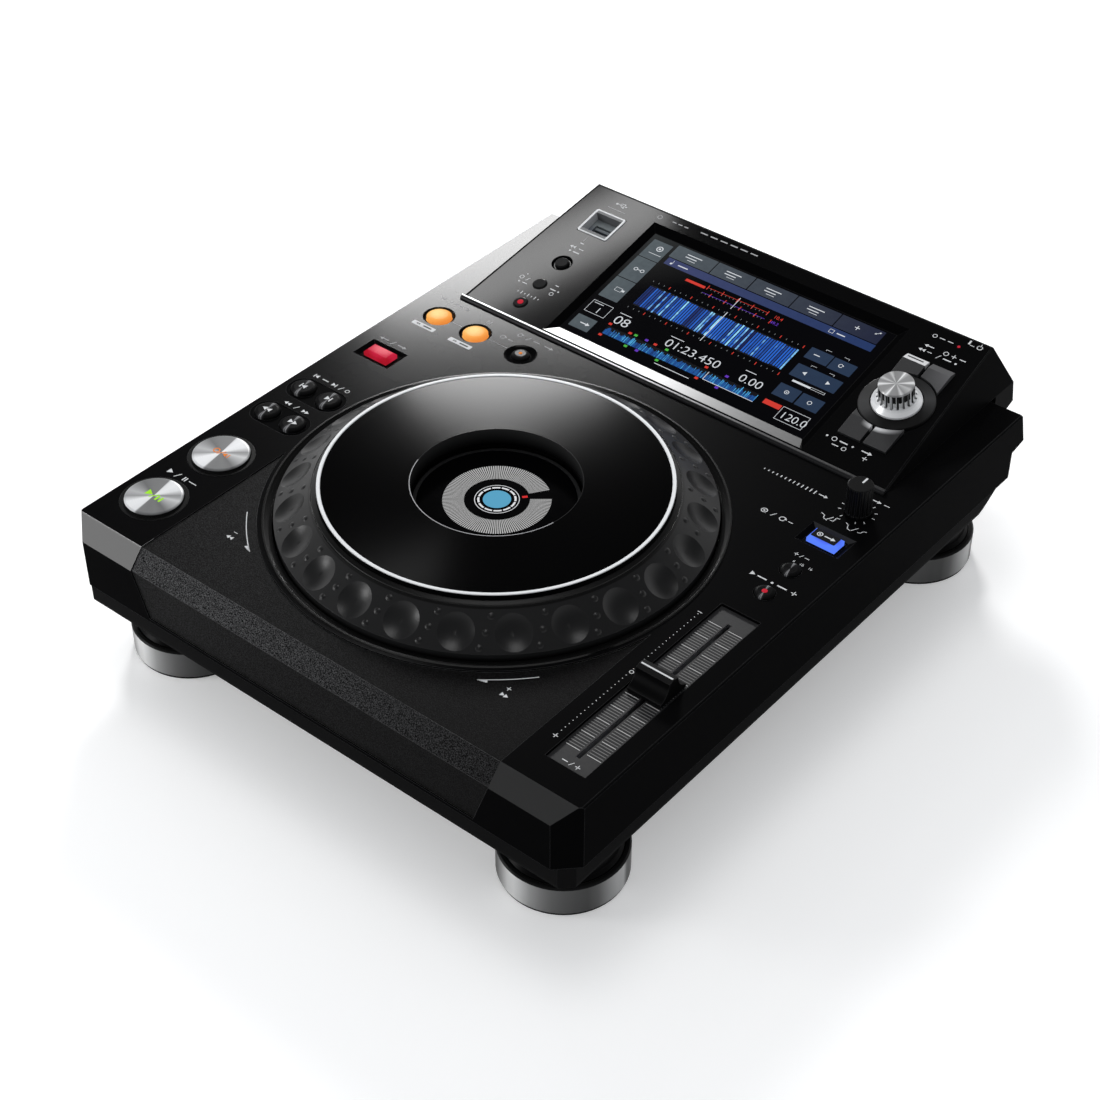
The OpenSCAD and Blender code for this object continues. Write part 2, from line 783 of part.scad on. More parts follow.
module housing_outline() {
    polygon([
        [panel_y, deck_z], [panel_top_y, panel_top_z], [panel_fall_y, deck_z],
        [back_y, housing_low_z], [back_y - 6, housing_low_z - 2.2],
        [lip_low_y + 2 * seam, housing_low_z - 2.2], [lip_low_y + 2 * seam, deck_z]]);
}

module housing_body() {
    intersection() {
        along_x(2 * housing_half_w) housing_outline();
        along_y(2 * body_d) polygon([
            [-housing_half_w, 0], [housing_half_w, 0], [housing_half_w, deck_z],
            [top_half_w, panel_top_z], [-top_half_w, panel_top_z], [-housing_half_w, deck_z]]);
    }
    translate([0, (panel_y + plug_back) / 2, 0])
        block(2 * housing_plug_half_w, plug_back - panel_y, deck_z - housing_plug_d, deck_z + 0.001);
}

module housing_cavity() {
    back_in = panel_fall_y - wall - 2;
    on_panel() translate([wall - top_half_w, ledge_w, -8 * housing_plug_d])
        cube([2 * (top_half_w - wall), panel_len - 2 * ledge_w - 2 * wall, 8 * housing_plug_d]);
    along_x(2 * (top_half_w - wall)) polygon([
        [lip_low_y + wall, housing_low_z + 0.3], [back_y - wall - 1, housing_low_z + 0.3],
        [back_in, deck_z], [panel_top_y - wall, panel_top_z - fascia_t - 2 * wall],
        [lip_low_y + wall, panel_top_z - fascia_t - 3 * wall]]);
}

module fascia_outline(grow) {
    top_in = fascia_rim - grow;
    foot = housing_half_w - top_in - 0.3;
    top = top_half_w - top_in + housing_draft * 0.4;
    polygon([[-foot, 0.25 - 3 * grow], [foot, 0.25 - 3 * grow],
             [top, panel_len - top_in], [-top, panel_len - top_in]]);
}

module display_housing() {
    color([0.05, 0.05, 0.06])
    difference() {
        housing_body();
        housing_cavity();
        on_panel() translate([0, 0, -fascia_t]) linear_extrude(fascia_t + cut) fascia_outline(seam);
        on_back_slope(power_x) {
            translate([0, 0, -4 * wall]) cylinder(r = power_r + key_gap, h = 5 * wall);
            translate([0, 0, -1]) cylinder(r = power_r + 1.4, h = 2);
        }
    }
}
module key_ring_cut(x, s, r) {
    translate([x, s, -fascia_t - cut]) cylinder(r = r, h = fascia_t + 2 * cut);
}

// The screen's window: straight sides up to the glass, then a frame that slopes outwards
module screen_opening() {
    half = [screen_w / 2, screen_h / 2];
    wide = half[0] + screen_bevel_x;
    intersection() {
        along_y(4 * screen_h)
            polygon([[-half[0], -fascia_t], [half[0], -fascia_t], [wide, 0], [wide, cut],
                     [-wide, cut], [-wide, 0]]);
        along_x(4 * screen_w) polygon([
            [-half[1], -fascia_t], [half[1], -fascia_t], [half[1] + screen_bevel_s, 0],
            [half[1] + screen_bevel_s, cut], [-half[1] - screen_chin_s, cut], [-half[1] - screen_chin_s, 0]]);
    }
    block(screen_w, screen_h, -2 * fascia_t, 0);
}

module display_fascia() {
    color([0.03, 0.03, 0.035])
    on_panel() difference() {
        translate([0, 0, -fascia_t]) linear_extrude(fascia_t) fascia_outline(0);
        translate([screen_x, screen_s, 0]) screen_opening();
        translate([usb_x, usb_s, 0])
            block(usb_frame_w + 2 * seam, usb_frame_h + 2 * seam, -2 * fascia_t, cut);
        for (s = [quantize_s, time_mode_s]) key_ring_cut(-panel_left_x, s, panel_key_r + key_gap);
        key_ring_cut(-panel_left_x, usb_stop_s, panel_key_r + key_gap);
        translate([-panel_left_x, usb_stop_s, -dish_d])
            cylinder(r1 = panel_key_r + 0.8, r2 = usb_stop_ring_r, h = dish_d);
        translate([-panel_left_x, usb_stop_s, 0]) cylinder(r = usb_stop_ring_r, h = cut);
        key_ring_cut(selector_x, selector_s, bush_r + seam);
        for (up = [-1, 1], side = [-1, 1]) arc_key_plan(side, up, key_gap, -fascia_t - cut, cut);
    }
}

module display_front_trim() {
    color("silver")
    difference() {
        translate([0, panel_y, deck_z]) along_x(2 * housing_half_w) circle(r = trim_w / 2, $fn = 48);
        translate([0, panel_y, 0]) block(2 * housing_half_w + 2, 2 * trim_w, deck_z - trim_w, deck_z);
        on_panel() translate([-housing_half_w - 1, -seam, -2 * trim_w])
            cube([2 * housing_half_w + 2, 2 * trim_w, 2 * trim_w + seam]);
    }
}

module touch_glass() {
    color([0.1, 0.12, 0.16])
    on_panel() translate([screen_x, screen_s, 0])
        block(screen_w + 2 * glass_lap, screen_h + 2 * glass_lap, -fascia_t - glass_t, -fascia_t);
}

module lcd_module() {
    high = -fascia_t - glass_t;
    color([0.45, 0.47, 0.5])
    on_panel() translate([screen_x, screen_s, 0]) difference() {
        block(screen_w + 2 * module_lap, screen_h + 2 * module_lap, high - module_t, high);
        block(screen_w - 2 * module_rim, screen_h - 2 * module_rim, high - 2 * module_t,
              high - module_t + module_dish);
    }
}

module usb_frame() {
    color("silver")
    on_panel() translate([usb_x, usb_s, 0]) difference() {
        intersection() {
            block(usb_frame_w, usb_frame_h, -usb_well_d, 0.4);
            rotate([0, 0, 45]) block(1.32 * usb_frame_w, 1.32 * usb_frame_w, -usb_well_d - cut, cut);
        }
        block(usb_well_w, usb_well_h, -usb_well_d - cut, cut);
    }
}

module usb_socket() {
    color([0.5, 0.52, 0.55])
    on_panel() translate([usb_x, usb_s, 0]) {
        difference() {
            block(usb_frame_w - 1, usb_frame_h - 2, -usb_well_d - usb_body_d, -usb_well_d);
            block(usb_port_w, usb_port_h, -usb_well_d - usb_body_d + 2, -usb_well_d + cut);
        }
        translate([0, usb_port_h / 2 - usb_tongue_t / 2 - 0.9, 0])
            block(usb_port_w - 1.4, usb_tongue_t, -usb_well_d - usb_body_d + 1.9, -usb_well_d - 0.6);
    }
}

// ---- Panel buttons and selector ----

module panel_key(s) {
    on_panel() translate([-panel_left_x, s, 0]) {
        rotate_extrude() polygon([
            [0, -fascia_t - 4], [panel_key_r, -fascia_t - 4], [panel_key_r, panel_key_top - 0.5],
            [panel_key_r - 0.6, panel_key_top], [0, panel_key_top]]);
        translate([0, 0, -fascia_t - 0.2 - panel_key_flange])
            cylinder(r = panel_key_r + flange_w, h = panel_key_flange);
    }
}

module usb_stop_button() { color([0.2, 0.2, 0.21]) panel_key(usb_stop_s); }
module time_mode_button() { color([0.2, 0.2, 0.21]) panel_key(time_mode_s); }
module quantize_button() { color([0.2, 0.2, 0.21]) panel_key(quantize_s); }

// Plan of one key beside the selector: a rectangle cut round by the collar
module arc_key_plan(side, up, grow, z0, z1) {
    w = arc_key_w + 2 * grow;
    translate([selector_x, selector_s, 0]) difference() {
        translate([side * (arc_x + arc_key_w / 2), up * (arc_key_reach / 2 + grow / 2), 0])
            block(w, arc_key_reach + grow, z0, z1);
        translate([0, 0, z0 - cut]) cylinder(r = arc_in_r - grow, h = z1 - z0 + 2 * cut);
    }
}

module arc_key(side, up) {
    near_s = sqrt(pow(arc_in_r, 2) - pow(arc_x + arc_key_w, 2));
    low_s = up > 0 ? selector_s + near_s : selector_s - arc_key_reach;
    high_s = up > 0 ? selector_s + arc_key_reach : selector_s - arc_x;
    ridge_s = up > 0 ? high_s - 4.5 : selector_s - arc_in_r + 1.5;
    on_panel() {
        intersection() {
            arc_key_plan(side, up, 0, -fascia_t - 2, arc_ridge + cut);
            along_x(2 * side_x) polygon([
                [low_s - cut, -fascia_t - 2], [low_s - cut, arc_low], [ridge_s, arc_ridge],
                [high_s, arc_low - 0.2], [high_s + cut, -fascia_t - 2]]);
        }
        translate([selector_x + side * (arc_x + arc_key_w / 2), selector_s + up * (arc_key_reach - 5), 0])
            block(arc_key_w - 2, 6, -fascia_t - 5, -fascia_t - 2 + 0.01);
    }
}

module back_button() { color([0.45, 0.46, 0.48]) arc_key(-1, 1); }
module tag_button() { color([0.45, 0.46, 0.48]) arc_key(1, 1); }
module filter_button() { color([0.45, 0.46, 0.48]) arc_key(-1, -1); }
module shortcut_button() { color([0.45, 0.46, 0.48]) arc_key(1, -1); }

module selector_collar() {
    color([0.12, 0.12, 0.13])
    on_panel() translate([selector_x, selector_s, 0]) rotate_extrude() polygon([
        [bush_r + 1, 0], [collar_r, 0], [collar_r, 0.8], [collar_r - 0.5, 1.2],
        [selector_skirt_r + 0.6, 1.9], [selector_skirt_r + 0.4, 0.5], [bush_r + 1, 0.5]]);
}

module at_selector() { on_panel() translate([selector_x, selector_s, 0]) children(); }

module selector_encoder() {
    color([0.3, 0.3, 0.32])
    at_selector() difference() {
        union() {
            block(14, 14, encoder_low, -fascia_t - seam);
            translate([0, 0, -fascia_t - seam]) cylinder(r = bush_r, h = fascia_t + 0.3);
        }
        translate([0, 0, chamber_low]) cylinder(r = plunger_r + 0.35, h = chamber_h);
        translate([0, 0, chamber_low]) cylinder(r = shaft_r + run_gap, h = 2 - chamber_low);
    }
}

module selector_plunger() {
    color([0.75, 0.75, 0.77])
    at_selector() translate([0, 0, plunger_low]) cylinder(r = plunger_r, h = plunger_t);
}

module selector_knob() {
    low = 0.5 + selector_travel + 0.3;
    color("silver")
    at_selector() {
        difference() {
            rotate_extrude() polygon([
                [0, low], [selector_skirt_r, low], [selector_skirt_r - 0.2, low + 1],
                [selector_r + 1.2, low + 3.6], [selector_r, low + 4.6],
                [selector_r - 0.2, selector_h - 0.6], [selector_r - 0.8, selector_h], [0, selector_h]]);
            for (i = [0:selector_flutes - 1])
                rotate([0, 0, i * 360 / selector_flutes]) translate([selector_r + 0.25, 0, low + 2.6])
                    cylinder(r = flute_r, h = selector_h - low - 4.2, $fn = 24);
        }
        translate([0, 0, plunger_low + plunger_t + run_gap])
            cylinder(r = shaft_r, h = low + 1 - plunger_low - plunger_t - run_gap);
    }
}

// ---- Jog wheel ----

module at_jog() { translate([jog_x, jog_y, 0]) children(); }

module jog_well() {
    color([0.13, 0.13, 0.14])
    at_jog() rotate_extrude($fn = 180) polygon([
        [30, well_floor - 2.4], [well_out_r, well_floor - 2.4], [well_out_r, deck_z],
        [lip_out_r, deck_z], [lip_out_r - 0.3, deck_z + lip_h], [lip_r, deck_z + lip_h],
        [well_r, deck_z - 0.9], [well_r, well_floor], [30, well_floor]]);
}

module jog_spindle() {
    seat = display_top - display_t - seam;
    step_z = well_floor + post_foot_t;
    color([0.2, 0.2, 0.22])
    at_jog() rotate_extrude() polygon([
        [post_floor_r, well_floor], [post_foot_r, well_floor], [post_foot_r, step_z],
        [post_r, step_z], [post_r, display_top - seam], [post_r - post_wall, display_top - seam],
        [post_r - post_wall, seat], [post_floor_r, seat]]);
}

module jog_bearing() {
    low = well_floor + post_foot_t;
    color([0.75, 0.7, 0.55])
    at_jog() tube(hub_r, post_r + run_gap / 2, low, low + bearing_h);
}

module jog_display() {
    face_r = post_r - post_wall - seam;
    color([0.1, 0.3, 0.5])
    at_jog() rotate_extrude() polygon([
        [0, display_top - display_t], [face_r, display_top - display_t], [face_r, display_top - 0.3],
        [face_r - 0.3, display_top], [0, display_top]]);
}

module jog_sensor() {
    color([0.15, 0.15, 0.16])
    at_jog() translate([0, disc_r + 1, 0]) difference() {
        block(10, 9, well_floor, disc_z + disc_t + 3);
        translate([0, -2.6, 0]) block(10 + 2 * cut, 7, disc_z - 0.9, disc_z + disc_t + 0.9);
    }
}

module jog_encoder_disc() {
    color([0.6, 0.6, 0.62])
    at_jog() difference() {
        tube(disc_r, hub_r + hub_t, disc_z, disc_z + disc_t, $fn = 180);
        for (i = [0:disc_slots - 1]) rotate([0, 0, i * 360 / disc_slots])
            translate([disc_r - 4, -0.8, disc_z - cut]) cube([3, 1.6, disc_t + 2 * cut]);
    }
}

// Cross-section of the dial: hub, web, shoulder, dimpled slope and skirt
module dial_section() {
    web_drop = dip_slope * (shoulder_r - hub_r);
    polygon([
        [hub_r + run_gap, hub_low], [hub_r + hub_t, hub_low], [hub_r + hub_t, shoulder_z - web_drop - web_t],
        [shoulder_r - 2, shoulder_z - web_t - dial_t / 2], [dial_r - 3, dial_low_z - 3.4],
        [dial_r - 3, dial_low_z - dial_skirt_h], [dial_r, dial_low_z - dial_skirt_h], [dial_r, dial_low_z],
        [dial_crown_r, dial_top_z], [dial_crown_r - 0.3, dial_top_z - 0.3],
        [dial_crown_r - 0.6, dial_top_z + 0.2],
        [shoulder_r, shoulder_z], [hub_r + run_gap, shoulder_z - web_drop]]);
}

// Places children at angle a, with z along the slope's normal, t of the way down the slope
module on_slope(a, t) {
    rotate([0, 0, a])
        translate([dial_crown_r + t * (dial_r - dial_crown_r), 0, dial_top_z + t * (dial_low_z - dial_top_z)])
            rotate([0, dial_slope, 0]) children();
}

// A shallow domed dot standing on a face at z = 0
module dot() {
    ball_r = (pow(dot_r, 2) + pow(dot_h, 2)) / (2 * dot_h);
    intersection() {
        translate([0, 0, dot_h - ball_r]) sphere(r = ball_r, $fn = 48);
        translate([0, 0, -1]) cylinder(r = dot_r + 0.4, h = 2, $fn = 48);
    }
}

module jog_dial() {
    ball_r = (pow(dimple_r, 2) + pow(dimple_d, 2)) / (2 * dimple_d);
    pitch = 360 / dimple_count;
    color([0.16, 0.16, 0.17])
    at_jog() {
        difference() {
            rotate_extrude($fn = 180) dial_section();
            for (i = [0:dimple_count - 1])
                on_slope(i * pitch, 0.555) translate([0, 0, ball_r - dimple_d]) sphere(r = ball_r);
        }
        for (i = [0:dimple_count - 1], spot = dot_spots)
            on_slope((i + 0.5) * pitch + spot[0], spot[1]) dot();
    }
}

module jog_plate() {
    low = plate_top - plate_t;
    sleeve_r = hub_r + run_gap - sleeve_gap;
    color([0.02, 0.02, 0.022])
    at_jog() rotate_extrude($fn = 180) polygon([
        [window_r, display_top + 1], [sleeve_r, display_top + 1],
        [sleeve_r, low - plate_dip + (sleeve_r - window_r) * dip_slope], [plate_r, low],
        [plate_r, plate_top - 0.2], [plate_r - 0.2, plate_top],
        [plate_r - white_ring_w, plate_top], [window_r, plate_top - plate_dip]]);
}

module jog_plate_ring() {
    out = plate_r - 0.2;
    color("white")
    at_jog() rotate_extrude($fn = 180) polygon([
        [out - white_ring_w + 0.2, plate_top], [out, plate_top], [out - 0.2, plate_top + 0.35],
        [out - white_ring_w + 0.5, plate_top + 0.35]]);
}

// ---- Deck buttons ----

// A round key with a flange under the deck; z is measured from the deck
module round_key(x, y, r, top, dome) {
    low = -board_depth + key_travel + 0.3;
    translate([x, y, deck_z]) {
        rotate_extrude() polygon([
            [0, low], [r, low], [r, top - dome], [r - dome, top - 0.3 * dome],
            [r - 2.2 * dome, top], [0, top]]);
        translate([0, 0, -wall - 0.2 - flange_t]) cylinder(r = r + flange_w, h = flange_t);
    }
}

module rect_key(x, y) {
    top = rect_top;
    low = -board_depth + key_travel + 0.3;
    translate([x, y, 0]) {
        block(rect_key_w, rect_key_d, deck_z + low, deck_z + top - 1.2);
        frustum([rect_key_w / 2, rect_key_d / 2], [rect_key_w / 2 - 1.2, rect_key_d / 2 - 1.6],
                deck_z + top - 1.2, deck_z + top);
        block(rect_key_w + 2 * flange_w, rect_key_d + 2 * flange_w,
              deck_z - wall - 0.2 - flange_t, deck_z - wall - 0.2);
    }
}

module transport_bezels() {
    color([0.1, 0.1, 0.11])
    for (y = [play_y, cue_y]) translate([left_x, y, 0])
        tube(play_r + key_gap + bezel_w, play_r + key_gap, deck_z - bezel_t, deck_z + 0.2);
}

module play_button() { color("silver") round_key(left_x, play_y, play_r, play_top, 0.5); }
module cue_button() { color("silver") round_key(left_x, cue_y, play_r, play_top, 0.5); }

module search_back_button() {
    color([0.5, 0.5, 0.52]) round_key(left_x - pair_gap / 2, search_y, search_r, search_top, 0.8);
}

module search_forward_button() {
    color([0.5, 0.5, 0.52]) round_key(left_x + pair_gap / 2, search_y, search_r, search_top, 0.8);
}

module track_back_button() {
    color([0.5, 0.5, 0.52]) round_key(left_x - pair_gap / 2, track_y, search_r, search_top, 0.8);
}

module track_forward_button() {
    color([0.5, 0.5, 0.52]) round_key(left_x + pair_gap / 2, track_y, search_r, search_top, 0.8);
}

module direction_button() { color([0.9, 0.2, 0.25]) rect_key(left_x, direction_y); }
module loop_in_button() { color([1, 0.65, 0.25]) round_key(left_x, loop_y, loop_r, loop_top, 1); }
module loop_out_button() { color([1, 0.65, 0.25]) round_key(loop_out_x, loop_y, loop_r, loop_top, 1); }
module reloop_button() { color([0.1, 0.1, 0.1]) round_key(reloop_x, loop_y, reloop_r, reloop_top, 0.8); }
module jog_mode_button() { color([0.3, 0.4, 1]) rect_key(right_x, jog_mode_y); }

module tempo_range_button() {
    color([0.15, 0.15, 0.16]) round_key(right_x, range_y, small_key_r, small_top, 0.7);
}

module master_tempo_button() {
    color([0.15, 0.15, 0.16]) round_key(right_x, master_y, small_key_r, small_top, 0.7);
}

// ---- Speed knob ----

module speed_pot() {
    color([0.3, 0.3, 0.32])
    translate([right_x, speed_y, deck_z]) difference() {
        union() {
            block(12, 12, -wall - 8, -wall - 0.1);
            translate([0, 0, -wall - 0.1]) cylinder(r = bush_r, h = wall + 0.2);
        }
        translate([0, 0, -wall - 7]) cylinder(r = shaft_r + run_gap, h = wall + 8);
    }
}

module speed_knob() {
    color([0.1, 0.1, 0.11])
    translate([right_x, speed_y, deck_z]) {
        translate([0, 0, -wall - 6]) cylinder(r = shaft_r, h = wall + 6 + knob_lift + 1);
        difference() {
            rotate_extrude() polygon([
                [0, knob_lift], [speed_r + 0.2, knob_lift], [speed_r - 0.15, speed_h - 0.4],
                [speed_r - 0.6, speed_h], [0, speed_h]]);
            for (i = [0:speed_flutes - 1])
                rotate([0, 0, i * 360 / speed_flutes]) translate([speed_r + 0.35, 0, knob_lift + 1])
                    cylinder(r = flute_r, h = speed_h, $fn = 24);
        }
    }
}

// ---- Tempo slider ----

module slider_recess_cut() {
    translate([right_x, slider_y, 0]) {
        block(slider_w, slider_len, deck_z - slider_recess, deck_z + cut);
        block(slider_w - 4, slider_len - 8, deck_z - 2 * wall, deck_z);
    }
}

module slot_block(w, z0, z1) {
    translate([right_x, slider_y, 0]) block(w, slider_travel + stem_len + 2.6, z0, z1);
}

module tempo_scale_plate() {
    color([0.25, 0.25, 0.27])
    difference() {
        translate([right_x, slider_y, 0])
            block(slider_w - 2 * seam, slider_len - 2 * seam, deck_z - slider_recess, plate_face_z);
        slot_block(slot_w, deck_z - slider_recess - cut, plate_face_z + cut);
    }
}

module tempo_fader() {
    top = deck_z - slider_recess;
    color([0.55, 0.56, 0.58])
    difference() {
        translate([right_x, slider_y, 0]) block(fader_w, slider_len - 9, top - fader_h, top);
        slot_block(stem_t + 1, top - fader_h + 1.5, top + cut);
        slot_block(8, top - fader_h + 1.5, top - 2);
    }
}

module tempo_slider() {
    low = plate_face_z + 0.4;
    high = deck_z + cap_z;
    edge_z = high - cap_fall;
    fader_low = deck_z - slider_recess - fader_h + 1.8;
    color([0.12, 0.12, 0.13])
    translate([right_x, slider_y, 0]) {
        difference() {
            along_x(cap_w) polygon([
                [-cap_len / 2, low], [cap_len / 2, low], [cap_len / 2, edge_z], [cap_ridge / 2, edge_z],
                [cap_line / 2, high], [-cap_line / 2, high], [-cap_ridge / 2, edge_z],
                [-cap_len / 2, edge_z]]);
            for (side = [-1, 1])
                translate([0, side * (cap_ridge / 2 + cap_flank_r), edge_z])
                    along_x(2 * cap_w) circle(r = cap_flank_r, $fn = 96);
        }
        block(stem_t, stem_len, fader_low, low + 0.01);
        block(stem_foot_w, stem_len + 1, fader_low, fader_low + 3);
    }
}

// ---- Inside ----

module circuit_boards() {
    high = deck_z - board_depth;
    low = high - board_t;
    color([0.05, 0.3, 0.12]) {
        translate([board_x[0], board_y[0], board_z])
            cube([board_x[1] - board_x[0], board_y[1] - board_y[0], board_t]);
        translate([left_x, (play_y + loop_y) / 2, 0]) block(key_board_w, loop_y - play_y + 50, low, high);
        translate([(left_x + reloop_x) / 2, loop_y, 0]) block(reloop_x - left_x + 20, 20, low, high);
        translate([right_x, (jog_mode_y + master_y) / 2, 0])
            block(key_board_w, jog_mode_y - master_y + 24, low, high);
    }
}

module power_supply() {
    color([0.6, 0.6, 0.62])
    translate([supply_x, supply_y, 0]) block(supply_w, supply_d, tray_z + wall, tray_z + wall + supply_h);
}

// ---- Back panel ----

module at_back(x) { translate([x, wall_y - plate2_t, jack_z]) rotate([90, 0, 180]) children(); }

// Opening in the back panel, a seam wider all round than what fills it
module port_cut(w, h) {
    block(w + 2 * seam, h + 2 * seam, -4 * plate2_t, 4 * plate2_t);
}

module rear_panel() {
    color([0.12, 0.12, 0.13])
    difference() {
        translate([0, wall_y - plate2_t / 2, 0]) block(2 * back_half_w, plate2_t, panel_low, panel_high);
        at_back(inlet_x)
            port_cut(inlet_w + 2 * inlet_wall, inlet_h + 2 * inlet_wall);
        at_back(link_x) port_cut(link_port_w, link_port_h);
        at_back(usb_b_x) port_cut(usb_b_w, usb_b_h);
        for (i = [0:2]) at_back(jack_x - i * jack_pitch)
            translate([0, 0, -4 * plate2_t]) cylinder(r = jack_r + 1.1, h = 8 * plate2_t);
        at_back(slot_x) port_cut(lock_slot_w, lock_slot_h);
    }
}

module ac_inlet() {
    color([0.08, 0.08, 0.08])
    at_back(inlet_x) {
        difference() {
            block(inlet_w + 2 * inlet_wall, inlet_h + 2 * inlet_wall, -16, plate2_t + 1);
            block(inlet_w, inlet_h, -14, plate2_t + 2 * cut);
        }
        for (p = [[-7, -1.5], [7, -1.5], [0, 2.5]]) translate(p) block(2, 4, -14 - seam, -2.2);
    }
}

module audio_jacks() {
    color([0.75, 0.72, 0.66])
    for (i = [0:2]) at_back(jack_x - i * jack_pitch) {
        tube(jack_r, jack_bore_r, -jack_depth, plate2_t + jack_reach);
        tube(jack_r + 1, jack_r, -jack_depth, plate2_t);
    }
}

module link_port() {
    color([0.6, 0.6, 0.62])
    at_back(link_x) difference() {
        block(link_port_w, link_port_h, -link_port_d, plate2_t + port_proud);
        block(link_hole_w, link_hole_h, 3 - link_port_d, plate2_t + 2 * cut);
    }
}

module usb_b_port() {
    color([0.6, 0.6, 0.62])
    at_back(usb_b_x) {
        difference() {
            block(usb_b_w, usb_b_h, -usb_b_d, plate2_t + port_proud);
            block(usb_b_hole_w, usb_b_hole_h, 4 - usb_b_d, plate2_t + 2 * cut);
        }
        block(usb_b_tongue_w, usb_b_tongue_h, 4 - usb_b_d - seam, -0.5);
    }
}

module power_button() {
    color([0.15, 0.15, 0.16])
    on_back_slope(power_x) translate([0, 0, -3 * wall]) cylinder(r = power_r, h = 3 * wall + 0.6);
}

// ---- Feet ----

module each_foot() {
    for (x = [-foot_x, foot_x], y = foot_y) translate([x, y, 0]) children();
}

module foot_cores() {
    color([0.05, 0.05, 0.05])
    each_foot() rotate_extrude() polygon([
        [foot_screw_r, pad_t], [core_r, pad_t], [core_r, foot_z], [core_r - 1.5, foot_z + 1.5],
        [core_r - 2.6, tray_z], [foot_screw_r, tray_z]]);
}

module foot_bands() {
    color("silver")
    each_foot() rotate_extrude() polygon([
        [core_r + 0.05, pad_t], [foot_r - 0.4, pad_t], [foot_r, pad_t + 0.4], [foot_r, foot_z - 0.8],
        [foot_r - 0.8, foot_z], [core_r + 0.6, foot_z], [core_r + 0.05, foot_z - 0.6]]);
}

module foot_pads() {
    color([0.1, 0.1, 0.1])
    each_foot() cylinder(r = foot_r - 0.6, h = pad_t);
}

bottom_tray();
upper_shell();
deck_insert();
display_housing();
display_fascia();
display_front_trim();
lcd_module();
touch_glass();
usb_frame();
usb_socket();
selector_collar();
selector_encoder();
jog_well();
jog_spindle();
jog_bearing();
jog_display();
jog_sensor();
tempo_scale_plate();
tempo_fader();
transport_bezels();
speed_pot();
circuit_boards();
power_supply();
rear_panel();
ac_inlet();
audio_jacks();
link_port();
usb_b_port();
foot_cores();
foot_bands();
foot_pads();
jog_dial();
jog_encoder_disc();
jog_plate();
jog_plate_ring();
tempo_slider();
play_button();
cue_button();
search_back_button();
search_forward_button();
track_back_button();
track_forward_button();
direction_button();
loop_in_button();
loop_out_button();
reloop_button();
jog_mode_button();
tempo_range_button();
master_tempo_button();
usb_stop_button();
time_mode_button();
quantize_button();
back_button();
tag_button();
filter_button();
shortcut_button();
selector_plunger();
selector_knob();
speed_knob();
power_button();
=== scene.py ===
import math

import bpy
from mathutils import Matrix, Vector


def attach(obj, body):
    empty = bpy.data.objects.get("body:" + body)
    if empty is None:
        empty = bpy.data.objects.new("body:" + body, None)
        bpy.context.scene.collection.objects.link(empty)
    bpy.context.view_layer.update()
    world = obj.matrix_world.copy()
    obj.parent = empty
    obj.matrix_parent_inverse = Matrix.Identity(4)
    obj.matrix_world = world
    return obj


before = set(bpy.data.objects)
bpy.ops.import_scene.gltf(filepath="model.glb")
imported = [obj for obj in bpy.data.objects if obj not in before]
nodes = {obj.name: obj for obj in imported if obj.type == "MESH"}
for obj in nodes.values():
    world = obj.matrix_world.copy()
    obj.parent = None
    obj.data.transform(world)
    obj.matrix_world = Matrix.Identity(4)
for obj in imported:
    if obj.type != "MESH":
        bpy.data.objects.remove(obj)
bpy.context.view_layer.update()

mm = 0.001
scene = bpy.context.scene
scene.view_settings.view_transform = "Standard"

# Where the faces lie that carry marks, in millimetres
deck = {"z": 83.3, "jogX": -1.0, "jogY": -57.3, "leftX": -131.6, "rightX": 131.9,
        "insertSink": 0.6, "loopY": 47.6, "loopStep": 25.5, "keyHalf": 8.75}
panel = {"tilt": math.radians(12.7), "y": 69.2, "glass": -2.15, "keysX": -103.8}
printLift = 0.05
leftX, rightX, loopY = deck["leftX"], deck["rightX"], deck["loopY"]
jogX, jogY = deck["jogX"], deck["jogY"]
print("scene: frame loaded,", len(nodes), "nodes")


def reckoning(operation, swapped=False):
    # A step of node maths between a reading and a number or another reading
    def step(self, other=0.0):
        return self.graph.calc(operation, *((other, self) if swapped else (self, other)))
    return step


class Reading:
    # A socket of a graph, reckoned with like a number
    def __init__(self, graph, socket):
        self.graph, self.socket = graph, socket

    __add__, __radd__ = reckoning("ADD"), reckoning("ADD", True)
    __sub__, __rsub__ = reckoning("SUBTRACT"), reckoning("SUBTRACT", True)
    __mul__, __truediv__ = reckoning("MULTIPLY"), reckoning("DIVIDE")
    __lt__, __gt__ = reckoning("LESS_THAN"), reckoning("GREATER_THAN")
    __abs__, fract = reckoning("ABSOLUTE"), reckoning("FRACT")

    def between(self, low, high):
        return (self > low) * (self < high)

    def fade(self, low, high):
        # 0 below low, 1 above high, even in between
        return self.graph.calc("DIVIDE", self - low, high - low, True)


